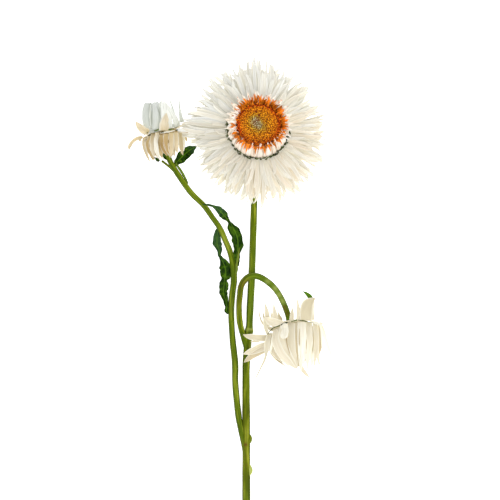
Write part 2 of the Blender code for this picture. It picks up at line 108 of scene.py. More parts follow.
class Pile:
    """Points, faces and values of one piece while it is being made, in millimetres.

    It has random draws of its own, and the frame of the head that it grows on.
    """

    def __init__(self, seed=0, bloom=None):
        self.points, self.faces, self.grain, self.tone = [], [], [], []
        self.count = 0
        self.draw = np.random.default_rng(seed)
        self.place = Place(*bloom) if bloom else None

    def add(self, points, faces, grain, tone):
        """Add a patch. Grain is across, along and a number of its own; tone is what its material asks."""
        size = len(points)
        self.points.append(points)
        self.grain.append(np.broadcast_to(grain, (size, 3)))
        self.tone.append(np.broadcast_to(tone, (size, 3)))
        for group in faces:
            self.faces.extend((np.asarray(group) + self.count).tolist())
        self.count += size


def make(pile, name, look, nodes=(), crisp=52):
    """Turn a pile into a piece of the flower, with its material and the nodes that it replaces.

    Edges sharper than crisp, in degrees, stay sharp.
    """
    mesh = bpy.data.meshes.new(name)
    mesh.from_pydata((np.vstack(pile.points) * MM).tolist(), [], pile.faces)
    for title, values in (("grain", pile.grain), ("tone", pile.tone)):
        attribute = mesh.attributes.new(title, "FLOAT_VECTOR", "POINT")
        attribute.data.foreach_set("vector", np.vstack(values).astype(np.float32).ravel())
    mesh.shade_smooth()
    mesh.set_sharp_from_angle(angle=math.radians(crisp))
    mesh.materials.append(look)
    piece = bpy.data.objects.new(name, mesh)
    bpy.context.scene.collection.objects.link(piece)
    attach(piece, "root")
    if nodes:
        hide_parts(*nodes)


def strip_faces(grid):
    """Quads between the rows and columns of a grid of point numbers."""
    near, far = grid[:-1], grid[1:]
    return np.stack([near[:, :-1], far[:, :-1], far[:, 1:], near[:, 1:]], -1).reshape(-1, 4)


def tube_faces(rows, sides, rising=False):
    """Quads round a tube, and a fan over each end to the two points that follow those of its rows."""
    number = np.arange(rows * sides).reshape(rows, sides)
    closed = np.column_stack([number, number[:, 0]])
    first, last = closed[0], closed[-1]
    quads = strip_faces(closed)
    fans = [(first[:-1], first[1:]), (last[1:], last[:-1])]
    if rising:
        quads = quads[:, ::-1]
        fans = [(end, start) for start, end in fans]
    middles = (rows * sides, rows * sides + 1)
    caps = [np.stack([np.full(sides, middle), *fan], -1) for middle, fan in zip(middles, fans)]
    return quads, *caps


def tip_lengths(kind, columns, draw):
    """How far each lengthwise line of a bract reaches, which gives its tip its outline."""
    across = np.linspace(-1, 1, columns)
    if kind == "torn":
        return 1 - draw.uniform(0.0, 0.17, columns) * (1 - 0.3 * np.abs(across))
    if kind == "split":
        notch = draw.uniform(-0.25, 0.25)
        return 1 - draw.uniform(0.12, 0.24) * np.exp(-(((across - notch) / 0.28) ** 2)) - 0.03 * across ** 2
    if kind == "blunt":
        return 1 - 0.10 * across ** 2 - draw.uniform(0.0, 0.05, columns)
    return 1 - 0.015 * draw.uniform(0, 1, columns)


def blade(pile, spine, side, widths, rows=12, columns=7, cup=0.3, roll=(0, 0), ruffle=0.0, waves=3.0,
          frill=0.0, crumple=0.0, pleat=0.0, pleats=3, kind="pointed", thickness=0.12, tone=(0, 0, 0)):
    """Thin closed blade along a spine: a bract or a leaf, channelled, rolled and ruffled.

    Its two faces share their edge, so it thins out towards it as the real one does. Side points
    across the blade. Widths, roll in degrees and spine are each read from a smooth curve. Ruffle
    lifts its edges in waves and frill widens and narrows it.
    """
    draw = pile.draw
    across = np.linspace(-1, 1, columns)[None, :]
    share = np.linspace(0, 1, rows)[:, None] * tip_lengths(kind, columns, draw)[None, :]
    middle = smooth(spine, share)
    along = unit(smooth(spine, share + 0.02) - smooth(spine, share - 0.02))
    side = np.asarray(side, float)
    level = unit(side - along * (along @ side)[..., None])
    upright = np.cross(along, level)
    angle = np.radians(smooth(roll, share))[..., None]
    edgewise = level * np.cos(angle) + upright * np.sin(angle)
    face = upright * np.cos(angle) - level * np.sin(angle)
    half = np.maximum(smooth(widths, share), NARROWEST) / 2
    phase = draw.uniform(0, 2 * math.pi, 2)
    if frill:
        beat = np.where(across > 0, phase[1], phase[0])
        edge = np.sin(2 * math.pi * 1.7 * waves * share + beat)
        edge = edge + 0.7 * np.sin(2 * math.pi * 3.1 * waves * share + 2 * beat)
        half = half * (1 + frill * np.abs(across) * edge)
    lift = cup * half * (across ** 2 - 0.3)
    lift = lift + pleat * np.cos(math.pi * pleats * across) * np.sin(math.pi * np.clip(share, 0.02, 1)) ** 0.5
    swing = np.where(across > 0, phase[0], phase[1]) + 2 * math.pi * waves * share
    lift = lift + ruffle * np.abs(across) ** 2 * np.sin(swing) * np.minimum(half, 1.2)
    if crumple:
        dents = np.sin(2 * math.pi * (3.4 * waves * share + 0.7 * across) + phase[1])
        lift = lift + crumple * dents * np.cos(math.pi * (1.6 * across - 2.3 * waves * share) + phase[0])
    front = middle + edgewise * (across * half)[..., None] + face * lift[..., None]
    front[..., 2] = np.maximum(front[..., 2], TABLE_TOP + LIE + thickness)
    back = front[1:-1, 1:-1] - face[1:-1, 1:-1] * thickness
    back[..., 2] = np.maximum(back[..., 2], TABLE_TOP + LIE)
    number = np.arange(rows * columns).reshape(rows, columns)
    behind = number.copy()
    behind[1:-1, 1:-1] = rows * columns + np.arange((rows - 2) * (columns - 2)).reshape(rows - 2, -1)
    grain = np.empty((rows, columns, 3))
    grain[..., 0] = (across + 1) / 2
    grain[..., 1] = share
    grain[..., 2] = draw.uniform()
    pile.add(
        np.vstack([front.reshape(-1, 3), back.reshape(-1, 3)]),
        (strip_faces(number), strip_faces(behind)[:, ::-1]),
        np.vstack([grain.reshape(-1, 3), grain[1:-1, 1:-1].reshape(-1, 3)]), tone,
    )


def bract(pile, turn, profile, reach=1.0, sway=0.0, spread=1.0, **shape):
    """Bract whose side view is a profile of (distance from the axis, height, width)."""
    profile = np.array(profile, float)
    share = np.linspace(0, 1, len(profile))
    radius = profile[0, 0] + (profile[:, 0] - profile[0, 0]) * reach
    height = profile[0, 1] + (profile[:, 1] - profile[0, 1]) * reach
    angle = np.radians(turn + sway * share ** 1.5)
    spine = np.stack([radius * np.cos(angle), radius * np.sin(angle), height], -1)
    middle = math.radians(turn + sway * 0.4)
    across = pile.place.direction((-math.sin(middle), math.cos(middle), 0))
    blade(pile, pile.place.world(spine), across, profile[:, 2] * spread, **shape)


class Shell:
    """How high a side bloom's near surface stands at a place in the picture, and how far it leans there."""

    def __init__(self, bloom, outline):
        centre, axis, _ = bloom
        self.centre = np.array(centre, float)
        self.forward = unit(np.array((axis[0], axis[1], 0.0)))
        self.right = np.cross(self.forward, UP)
        self.slope = axis[2] / math.hypot(axis[0], axis[1])
        self.outline = np.array(outline, float)

    def read(self, x, y):
        away = np.array((x, y, self.centre[2])) - self.centre
        ahead, aside = away @ self.forward, away @ self.right
        radius = np.interp(ahead, self.outline[:, 0], self.outline[:, 1])
        lean = min(max(aside / radius, -0.92), 0.92)
        return self.centre[2] + self.slope * ahead + radius * math.sqrt(1 - lean ** 2), lean


def laid(pile, shell, run, lift=0.0, **shape):
    """Bract laid over a side bloom's near surface along a run of (x, y, width) seen from above."""
    places = [(x, y, *shell.read(x, y)) for x, y, _ in run]
    spine = np.array([(x, y, height + lift) for x, y, height, _ in places])
    lean = min(max(float(np.mean([place[3] for place in places])), -0.6), 0.6)
    tangent = shell.right * math.sqrt(1 - lean ** 2) - UP * lean
    way = -1 if (spine[-1] - spine[0]) @ shell.forward > 0 else 1
    blade(pile, spine, tangent * way, [width for _, _, width in run], **shape)


def free(pile, run, **shape):
    """Blade along a run of (x, y, z, width) whose face looks up from the table."""
    run = np.array(run, float)
    across = np.cross(UP, unit(run[-1, :3] - run[0, :3]))
    blade(pile, run[:, :3], across, run[:, 3], **shape)


def toned(hues, shades):
    """A ring's tones: hues and shades drawn between a least and a most."""
    return lambda turn, draw: (draw.uniform(*hues), draw.uniform(*shades), 0)


def ring(pile, count, profile, start=0.0, ragged=0.06, roll=12.0, sway=0.12, cup=(0.2, 0.5), skip=(),
         tone=None, kinds=("pointed",), **shape):
    """Ring of bracts, no two quite alike. No bract grows in the sectors to skip."""
    draw = pile.draw
    step = 360 / count
    for number in range(count):
        turn = (start + (number + draw.uniform(-0.25, 0.25)) * step) % 360
        shape["kind"] = kinds[int(draw.integers(len(kinds)))]
        twist = draw.uniform(-roll, roll, 2)
        values = dict(
            reach=1 + draw.uniform(-ragged, ragged), sway=draw.uniform(-sway, sway) * step,
            spread=draw.uniform(0.85, 1.12), cup=draw.uniform(*cup), roll=(0, twist[0], twist[0] + twist[1]),
            tone=tone(turn, draw) if tone else (0.5, draw.uniform(), 0),
        )
        if not any(low <= turn <= high for low, high in skip):
            bract(pile, turn, profile, **values, **shape)


def turned(pile, profile, steps, tone, wobble=0.0, seed=1):
    """Closed body turned about a head's axis from (radius, height) points, top to bottom."""
    draw = np.random.default_rng(seed)
    angle = np.linspace(0, 2 * math.pi, steps, endpoint=False)
    rows = []
    for radius, height in profile:
        r = radius * (1 + wobble * draw.uniform(-1, 1, steps))
        rows.append(np.stack([r * np.cos(angle), r * np.sin(angle), np.full(steps, height)], -1))
    ends = [(0, 0, profile[0][1]), (0, 0, profile[-1][1])]
    points = pile.place.world(np.vstack([*rows, ends]))
    points[:, 2] = np.maximum(points[:, 2], TABLE_TOP + LIE)
    across = np.append(np.tile(angle / (2 * math.pi), len(profile)), [0, 0])
    along = np.append(np.repeat(np.linspace(0, 1, len(profile)), steps), [0, 1])
    grain = np.stack([across, along, np.full(len(points), 0.5)], -1)
    pile.add(points, tube_faces(len(profile), steps), grain, tone)


# Materials.

def hex_colour(code):
    """Linear colour from an sRGB hex value."""
    parts = [int(code[start:start + 2], 16) / 255 for start in (1, 3, 5)]
    linear = [part / 12.92 if part <= 0.04045 else ((part + 0.055) / 1.055) ** 2.4 for part in parts]
    return (*linear, 1.0)


class Skin:
    """A material while it is being made.

    Grain is where a point is on its blade: across, along, and a number of the blade's own. Tone is
    what the piece asks of its material.
    """

    def __init__(self, name):
        self.material = bpy.data.materials.new(name)
        self.material.use_nodes = True
        self.tree = self.material.node_tree
        self.tree.nodes.clear()
        grain = self.add("Attribute", attribute_name="grain").node.outputs["Vector"]
        tone = self.add("Attribute", attribute_name="tone").node.outputs["Vector"]
        self.across, self.along, self.own = self.add("SeparateXYZ", grain).node.outputs
        self.tone = self.add("SeparateXYZ", tone).node.outputs

    def add(self, kind, *values, named=None, stops=(), **settings):
        """Add a node with its settings, its inputs in order or by name, and a ramp's stops of (place, hex).

        An input is linked to a socket, set to a value or a hex colour, or left alone for None. What
        comes back is the node's first output.
        """
        made = self.tree.nodes.new("ShaderNode" + kind)
        for name, value in settings.items():
            setattr(made, name, value)
        inputs = list(zip([socket for socket in made.inputs if socket.enabled], values))
        inputs += [(made.inputs[name], value) for name, value in (named or {}).items()]
        for socket, value in inputs:
            if isinstance(value, bpy.types.NodeSocket):
                self.tree.links.new(value, socket)
            elif value is not None:
                socket.default_value = hex_colour(value) if isinstance(value, str) else value
        for number, (place, code) in enumerate(stops):
            elements = made.color_ramp.elements
            element = elements[number] if number < len(elements) else elements.new(place)
            element.position = place
            element.color = hex_colour(code)
        return next((socket for socket in made.outputs if socket.enabled), None)

    def streaks(self, across, along, own=61.0, detail=3.0):
        """Noise drawn out along a blade: so many streaks across it, each so many to its length.

        Nine streaks across a bract 3 mm wide are 0.33 mm each, and thirteen round a stem 3 mm thick
        are 0.7 mm each. Real veins and ribs are finer, and too fine to show.
        """
        counts = ((self.across, across), (self.along, along), (self.own, own))
        place = [self.add("Math", value, count, operation="MULTIPLY") for value, count in counts]
        return self.add("TexNoise", self.add("CombineXYZ", *place), 1.0, detail)

    def from_middle(self):
        """Distance from the blade's midrib, up to 0.5 at its edges."""
        off = self.add("Math", self.across, 0.5, operation="SUBTRACT")
        return self.add("Math", off, operation="ABSOLUTE")

    def coated(self, colour, *coats):
        """A colour under coats of (share, colour), one over another."""
        for share, coat in coats:
            colour = self.add("Mix", share, colour, coat, data_type="RGBA")
        return colour

    def finish(self, colour, normal=None, through=None, share=0.0, painted_glow=0.0, roughness=0.6, specular=0.3):
        """Join the surface to the output, mixed with a share of what shines through, and with a painted glow.
        """
        surface = self.add("BsdfPrincipled", named={
            "Base Color": colour, "Roughness": roughness, "Specular IOR Level": specular, "Normal": normal,
            "Emission Color": colour, "Emission Strength": painted_glow,
        })
        if through is not None:
            surface = self.add("MixShader", share, surface, through)
        self.add("OutputMaterial", surface)
        return self.material


def papery(name, hues, root, shade, rim=None, lines=9.0, glow=0.45, painted_glow=0.0, tip=None, roughness=0.5):
    """Dried bract, a thin dry sheet like tissue paper: matt, streaked lengthwise, with light through it.

    Painted glow, an emission in its own colour, stands in for the light that wanders about between thin
    white sheets, which keeps the gaps between them pale. Lines is how many fine streaks cross it, and rim
    is the colour of its edges, paler where the paper thins and, on the rays, brighter still as a painted
    highlight. Tone X picks a hue from pale to deep, Y darkens it and Z is where a coloured tip starts.
    """
    skin = Skin(name)
    add, (hue, darkness, tip_start) = skin.add, skin.tone
    fine = skin.streaks(lines, 2.2)
    broad = skin.streaks(2.5, 1.2)
    patch = add("Math", darkness, broad, operation="MULTIPLY")
    colour = skin.coated(
        add("ValToRGB", hue, stops=hues),
        (add("MapRange", skin.along, 0.0, 0.4, 0.6, 0.0), root),
        (add("MapRange", fine, 0.42, 0.68, 0.0, 0.4), shade),
        (add("MapRange", patch, 0.1, 0.6, 0.0, 0.7), shade),
        (add("MapRange", skin.from_middle(), 0.34, 0.5, 0.0, 0.7), rim or hues[0][1]),
    )
    if tip:
        light, deep = tip
        # The deep colour, strongest towards the bract's foot, is partly its own deeper red and partly painted
        # shade.
        foot = add("MapRange", skin.along, 0.15, 0.45, 0.75, 0.0)
        grainy = add("MapRange", fine, 0.38, 0.62, -0.55, 0.3)
        deep_red_and_shade = add("Math", foot, grainy, operation="ADD")
        share = add("Math", skin.own, 0.75, deep_red_and_shade, operation="MULTIPLY_ADD", use_clamp=True)
        ragged = add("Math", broad, 0.3, skin.along, operation="MULTIPLY_ADD")
        past = add("Math", ragged, tip_start, operation="SUBTRACT")
        colour = skin.coated(colour, (add("MapRange", past, 0.0, 0.16), skin.coated(light, (share, deep))))
    normal = add("Bump", named={"Strength": 0.5, "Distance": 0.12 * MM, "Height": fine})
    through = add("BsdfTranslucent", colour, normal)
    return skin.finish(colour, normal, through, glow, painted_glow, roughness)


def floret_tubes():
    """Packed floret tubes, waxy and pollen dusted: granular orange with red brown gaps, partly painted shade.

    Tone X is the share of the way from the disc's middle, Y is the height on the floret.
    """
    skin = Skin("pollen dusted florets")
    add, (share, height, _) = skin.add, skin.tone
    # Towards the rim both ramps turn dark red: painted shade where the collar shades the disc.
    crown = add("ValToRGB", share, stops=(
        (0.0, "#D6DAC6"), (0.2, "#D2D0A0"), (0.32, "#CEBA4A"), (0.5, "#FCBC22"), (0.66, "#FFAE1C"),
        (0.84, "#FFA41C"), (0.93, "#E45C0C"), (1.0, "#701804"),
    ))
    foot_colour_and_shade = add("ValToRGB", share, stops=(
        (0.0, "#6E6A50"), (0.33, "#7E5C0C"), (0.6, "#A84C08"), (0.84, "#C4540A"), (1.0, "#3A0A04"),
    ))
    # Each floret has its own shade, from red brown to full yellow.
    own = add("ValToRGB", skin.own, stops=((0.0, "#38281A"), (0.42, "#BCA07C"), (1.0, "#FFFFFF")))
    # Each floret's foot takes the deeper colour: partly its own, partly painted shade between florets.
    body = skin.coated(foot_colour_and_shade, (add("MapRange", height, 0.2, 0.7), crown))
    colour = add("Mix", 1.0, body, own, data_type="RGBA", blend_type="MULTIPLY")
    # A painted glow, an emission in the florets' own colour, brightens them.
    return skin.finish(colour, painted_glow=0.29, specular=0.15)


def ribbed_green():
    """Living stem skin: waxy olive green with fine lengthwise ribs, with painted shade that darkens its
    sides.

    Tone X turns it bluish, Y stains it brown and Z pales it, as on a joint or a cut face and in the
    painted highlights along the arch's top.
    """
    skin = Skin("ribbed green stem")
    add, (bluish, brown, pale) = skin.add, skin.tone
    fine = skin.streaks(13.0, 5.0)
    broad = skin.streaks(6.0, 8.0)
    line = add("MapRange", fine, 0.45, 0.62, 0.0, 0.65)
    speck = add("MapRange", skin.streaks(9.0, 90.0), 0.62, 0.74, 0.0, 0.6)
    turn = add("Math", skin.across, 2 * math.pi, -0.25, operation="MULTIPLY_ADD")
    upper = add("Math", turn, operation="SINE")
    colour = skin.coated(
        add("ValToRGB", broad, stops=((0.36, "#4E5E06"), (0.5, "#6C7A08"), (0.64, "#949C2C"))),
        (bluish, "#56761A"),
        (add("Math", line, speck, operation="MAXIMUM"), "#36480A"),
        # Painted shade: darker green towards the stem's sides and underneath.
        (add("MapRange", upper, 0.9, 0.1, 0.0, 0.75), "#38480A"),
        (brown, "#5C4216"),
        (pale, "#B9C26A"),
    )
    normal = add("Bump", named={"Strength": 0.6, "Distance": 0.1 * MM, "Height": fine})
    return skin.finish(colour, normal, specular=0.05)


def crinkled_leaf():
    """Leaf blade: deep green, leathery and satin, with a pale midrib and side veins.

    Its mottle is about 1.5 mm across on a blade 4 mm wide, partly its own colour and partly the painted
    light and shade of its crinkles. Its far part is a lighter blue green. Tone X makes it so elsewhere,
    and Y turns it to the bright green of a young leaf.
    """
    skin = Skin("crinkled green leaf")
    add, (blue_green_share, young, _) = skin.add, skin.tone
    mottle_light_and_shade = skin.streaks(2.6, 19.0, own=9.0, detail=4.0)
    far_part = add("MapRange", skin.along, 0.58, 0.74, 0.0, 0.5)
    away = skin.from_middle()
    slant = add("Math", away, -0.16, skin.along, operation="MULTIPLY_ADD")
    wave = add("Math", add("Math", slant, 95.0, operation="MULTIPLY"), operation="SINE")
    vein = add("MapRange", wave, 0.75, 1.0, 0.0, 0.12)
    midrib = add("MapRange", away, 0.02, 0.07, 0.55, 0.0)
    ribbed = add("Math", midrib, vein, operation="MAXIMUM")
    # The mottle ramp paints light and shade of the crinkles over the leaf's own patchy green.
    colour = skin.coated(
        add("ValToRGB", mottle_light_and_shade, stops=((0.34, "#0C2402"), (0.5, "#203F04"), (0.66, "#486A0C"))),
        (add("Math", far_part, blue_green_share, operation="MAXIMUM"), "#3A5E3C"),
        (add("Math", ribbed, young, operation="MAXIMUM"), "#648E1C"),
    )
    normal = add("Bump", named={"Strength": 0.7, "Distance": 0.15 * MM, "Height": mottle_light_and_shade})
    return skin.finish(colour, normal, add("BsdfTranslucent", colour), 0.12, specular=0.06)


def table_card():
    """White table lit from below, so that shadows on it stay faint."""
    made = bpy.data.materials.new("white light table")
    made.use_nodes = True
    shader = made.node_tree.nodes["Principled BSDF"]
    shader.inputs["Base Color"].default_value = hex_colour("#F4F4F4")
    shader.inputs["Roughness"].default_value = 0.9
    shader.inputs["Emission Color"].default_value = hex_colour("#FFFFFF")
    shader.inputs["Emission Strength"].default_value = 0.85
    return made


# The rays' edges are palest, as thin paper is, and brightened further as a painted highlight.
WHITE_PAPER = papery(
    "papery white bract", ((0.0, "#E6E8E6"), (0.35, "#F0F0EA"), (0.6, "#F0EDE1"), (1.0, "#F1E8D6")),
    "#EDE9DC", "#D4D0C2", rim="#FCFCF8", lines=5.0, glow=0.5, painted_glow=0.175,
)
# White paper painted grey: painted shade for the shadow that shows through the left bloom's thin bracts.
SHADED_WHITE_PAPER = papery(
    "papery white bract with painted shade", ((0.0, "#CCD0C8"), (0.3, "#DFE2DD"), (0.6, "#EEF0EA"), (1.0, "#FCFCF6")),
    "#E0E3D9", "#BFC3B5", glow=0.4, painted_glow=0.15,
)
BELL_PAPER = papery(
    "papery ivory bract",
    ((0.0, "#FAFAF0"), (0.3, "#EFEAD8"), (0.6, "#E1D9C0"), (0.85, "#D0BC92"), (1.0, "#B89A66")),
    "#E6E0CA", "#D0C8AA", glow=0.4, painted_glow=0.12,
)
CREAM_PAPER = papery(
    "papery cream bract",
    ((0.0, "#F6F6EC"), (0.3, "#EBE3CC"), (0.6, "#DECC9E"), (0.85, "#CCAE72"), (1.0, "#AC8A46")),
    "#D6C492", "#BEAC7C", glow=0.35, painted_glow=0.08,
)
# Its tips' deep red is partly the bracts' own colour and partly painted shade.
COLLAR_PAPER = papery(
    "orange tipped collar bract", ((0.0, "#FFFFFA"), (0.5, "#FEFAF0"), (1.0, "#FBF0E0")),
    "#F8ECD8", "#E0CCAC", glow=0.3, painted_glow=0.1, tip=("#FF9A1E", "#641C02"),
)
STRAW_PAPER = papery(
    "straw scale", ((0.0, "#C2BE7C"), (0.5, "#A8A456"), (1.0, "#8E9440")), "#7C8438", "#5C5A24",
    glow=0.1, roughness=0.6,
)
DARK_SCALE = papery(
    "dark olive scale", ((0.0, "#8C9268"), (0.4, "#5E7030"), (1.0, "#22260E")), "#3E4620", "#191C0C",
    glow=0.05, roughness=0.6,
)
FLORETS = floret_tubes()
STEM_SKIN = ribbed_green()
LEAF_SKIN = crinkled_leaf()


# The open bloom.

RAY_ROOT = 11.5
DISC_RADIUS = 8.8
DISC_CROWN = 9.5


def ray_tone(turn, draw):
    """Creamier at the picture's lower right and a little greyer at its top and left.

    This is partly the rays' own colour and partly painted light and shade.
    """
    angle = math.radians(turn)
    warmth = 0.5 + 0.2 * math.cos(angle + 0.8) + draw.uniform(-0.25, 0.25)
    # The turn darkens the rays at the top and left: painted shade.
    dim_and_side_shade = draw.uniform(-0.05, 0.75) - 0.2 * math.cos(angle + 0.5)
    return (min(max(warmth, 0), 1), max(dim_and_side_shade, 0), 0)


# How far the rays reach at each turn, read off the photo: tufts and the bays between them.
TUFTS = (
    (-172, 26.5), (-167, 27.2), (-159, 29.6), (-154, 26.6), (-147, 28.9), (-140, 28.0), (-131, 31.2),
    (-127, 27.0), (-114, 31.2), (-110, 28.2), (-103, 31.6), (-96, 32.0), (-92.4, 33.0), (-91.2, 28.4),
    (-89.4, 28.4), (-88.2, 32.0), (-85, 33.0), (-81, 28.6), (-76, 31.8), (-66, 30.0), (-53, 32.2),
    (-48, 29.0), (-41, 30.8), (-37, 28.2), (-25, 29.6), (-18, 27.9), (-10, 30.3), (-4, 28.0), (4, 27.6),
    (13, 29.7), (20, 29.4), (30, 27.0), (35, 29.0), (49, 30.8), (54, 27.8), (61, 30.8), (66, 29.5),
    (70, 31.0), (75, 29.4), (80, 31.4), (88, 33.2), (93, 33.2), (99, 30.0), (106, 31.0), (113, 31.6),
    (119, 30.0), (125, 30.4), (131, 31.2), (141, 28.0), (146, 29.2), (154, 28.0), (160, 29.2), (167, 32.6),
    (175, 33.8), (180, 33.0), (188, 26.5),
)
# Layers of rays: how many, their reach as shares of the tufts, root height, climb, droop and width.
RAY_LAYERS = (
    (70, 0.92, 1.02, -1.4, -3.0, 1.4, 1.9),
    (46, 0.82, 0.92, -1.2, -2.2, 1.2, 3.0),
    (84, 0.90, 1.03, -0.9, -1.6, 1.2, 1.5),
    (46, 0.78, 0.88, -0.6, -0.7, 0.8, 3.0),
    (92, 0.88, 1.04, -0.4, 0.2, 0.9, 1.4),
    (96, 0.84, 1.02, 0.0, 1.2, 0.7, 1.3),
    (86, 0.74, 0.98, 0.4, 2.0, 0.5, 1.3),
    (46, 0.55, 0.85, 0.8, 2.4, 0.0, 1.1),
)
# Loose strands that stand past the rest, most of them at the upper left: turn and reach.
RAY_STRANDS = (
    (128, 33.0), (131, 33.6), (137, 31.0), (143, 32.2), (149, 31.8), (156, 31.4), (121, 32.2), (113, 33.4),
    (95, 33.9), (89, 34.0), (85, 33.4), (68, 32.6), (47, 32.4), (38, 31.0), (28, 30.4), (14, 31.4),
    (8, 30.4), (-8, 31.6), (-14, 31.2), (-24, 31.2), (-40, 32.0), (-52, 33.4), (-60, 31.6), (-71, 32.6),
    (-75, 33.0), (-87, 34.0), (-97, 32.4), (-104, 32.6), (205, 30.6), (214, 30.8), (228, 32.0), (246, 32.4),
)
# Places along a ray, as shares of its length, and its relative width there where it is pointed, where
# it is torn or split, and where it is a strand.
RAY_SHARES = np.array((0.0, 0.15, 0.4, 0.7, 0.9, 1.0))
TAPERED = np.array((0.9, 0.95, 1.0, 1.0, 0.75, 0.08))
BROAD_ENDED = np.array((0.9, 0.95, 1.0, 1.1, 0.9, 0.4))
THREADY = np.array((0.7, 0.9, 0.9, 0.7, 0.4, 0.05))


def ray(pile, turn, reach, root, rise, curl, widths, **shape):
    """One ray from the foot of the rays out to its reach, with its rise and its curl downwards."""
    radius = RAY_ROOT + (reach - RAY_ROOT) * RAY_SHARES
    profile = np.stack([radius, root + rise * RAY_SHARES - curl * RAY_SHARES ** 3, widths], -1)
    bract(pile, turn, profile, tone=ray_tone(turn, pile.draw), **shape)


def rays():
    """White rays in layers: the lowest longest and folded back, the topmost short and lifted."""
    pile = Pile(101, OPEN_BLOOM)
    draw = pile.draw
    turns, reaches = np.array(TUFTS).T
    turned(pile, ((11.6, 1.2), (13.0, 0.9), (14.0, 0.2), (14.2, -1.4), (12.0, -2.4)), 48, (0.5, 0.6, 0))
    for count, shortest, longest, root, climb, droop, width in RAY_LAYERS:
        step = 360 / count
        start = draw.uniform(0, step)
        for number in range(count):
            turn = start + (number + draw.uniform(-0.5, 0.5)) * step
            top = math.sin(math.radians(turn))
            sway = draw.uniform(-10, 10)
            edge = np.interp((turn + sway - turns[0]) % 360 + turns[0], turns, reaches)
            reach = draw.uniform(shortest, longest) * edge
            torn = draw.uniform() < 0.35 + 0.35 * top
            kind = "torn" if torn else ("split" if draw.uniform() < 0.4 else "pointed")
            widths = width * draw.uniform(0.6, 1.3) * (TAPERED if kind == "pointed" else BROAD_ENDED)
            rise = climb + draw.uniform(-0.7, 0.7)
            curl = droop + draw.uniform(-0.7, 0.7)
            twist = draw.uniform(-55, 55)
            ray(pile, turn, reach, root, rise, curl, widths, sway=sway, kind=kind,
                columns=7 if width > 1.8 else 5, cup=draw.uniform(0.0, 0.5), roll=(0, twist * 0.2, twist),
                ruffle=0.12, waves=1.5, pleat=0.04)
    for turn, reach in RAY_STRANDS:
        ray(pile, turn, reach, -0.6, draw.uniform(-3.0, 1.5), 0, THREADY, sway=draw.uniform(-7, 7), columns=5,
            cup=0.7, roll=(0, draw.uniform(-60, 60)))
    make(pile, "rays", WHITE_PAPER, ["main_bloom_rays"])


# The collar's bracts from the side, foot first, as (distance from the axis, height, width): four kinds
# of white fingers, then four of orange bracts.
WALL = (
    (12.2, 1.5, 1.4), (12.7, 3.4, 1.6), (12.3, 5.6, 1.4), (11.8, 7.6, 1.0), (12.2, 9.2, 0.6),
    (13.3, 9.8, 0.05),
)
SECOND = (
    (11.4, 2.5, 1.3), (11.8, 4.6, 1.4), (11.3, 6.8, 1.2), (11.0, 8.4, 0.9), (11.6, 9.5, 0.5),
    (12.8, 10.0, 0.05),
)
LEANING = (
    (12.1, 1.5, 1.4), (12.5, 3.4, 1.5), (11.9, 5.8, 1.3), (11.1, 7.8, 0.9), (10.4, 9.4, 0.6),
    (9.9, 10.8, 0.05),
)
SPLAYED = ((11.2, 5.0, 1.0), (11.8, 7.6, 1.2), (12.6, 9.0, 0.9), (13.5, 9.5, 0.6), (14.5, 9.5, 0.05))
FLAME = ((9.2, 5.8, 1.0), (9.6, 7.6, 1.4), (10.1, 9.0, 1.3), (10.9, 9.9, 0.8), (12.0, 10.0, 0.05))
LAPPING = ((9.4, 6.4, 1.0), (10.1, 8.6, 1.3), (11.0, 9.7, 1.1), (11.9, 9.8, 0.7), (12.7, 9.4, 0.05))
HOOKED = ((9.2, 7.8, 0.9), (10.2, 10.4, 1.1), (11.4, 10.9, 0.9), (12.5, 9.8, 0.6), (13.3, 7.6, 0.05))
CORE = ((8.6, 6.8, 1.0), (8.8, 7.9, 1.1), (9.2, 8.8, 0.8), (9.8, 9.3, 0.05))
# Sectors to skip: the side towards the picture's foot, and all but that side.
FOOT_SIDE = ((198, 342),)
OTHER_SIDES = ((0, 198), (342, 360))
# Orange ones that stand out singly, as turn and reach: at the left, and bent over the white wall.
LEFT_FLAMES = (
    (138, 1.05), (143, 0.9), (158, 0.7), (161, 0.85), (186, 1.0), (190, 1.15), (195, 1.05), (199, 0.9),
)
FOOT_HOOKS = (
    (205, 0.8), (210, 0.9), (216, 0.7), (223, 0.95), (229, 0.7), (234, 0.9), (240, 0.9), (245, 1.1),
    (249, 0.7), (256, 0.5), (262, 1.05), (270, 0.5), (279.5, 1.05), (284, 0.5), (289, 0.95), (295, 0.5),
    (301, 0.9), (308, 0.5), (315, 0.95), (322, 0.6), (330, 0.6), (337, 0.7),
)


def sunlit(turn):
    """Above 0 on the side at the picture's top right, where the collar's tips are most orange."""
    return math.cos(math.radians(turn - 60))


def white(turn, draw):
    """White to the tip, apart from some whose ends are orange."""
    orange_end = draw.uniform() < 0.15 + 0.35 * max(sunlit(turn), 0)
    return (draw.uniform(0, 1), draw.uniform(0, 0.6), 0.95 if orange_end else 2.0)


def orange(turn, draw):
    """Orange from the foot up at the top and right, from halfway at the foot and seldom at the left."""
    if 146 < turn % 360 < 205:
        return (0.3, draw.uniform(0, 0.5), 2.0)
    start = draw.uniform(-0.2, 0.2) if sunlit(turn) > -0.1 else draw.uniform(0.0, 0.6)
    return (0.6, draw.uniform(0, 0.6), start)


def ember(turn, draw):
    """Orange nearly all over."""
    return (0.6, 0.2, draw.uniform(-0.3, 0.1))


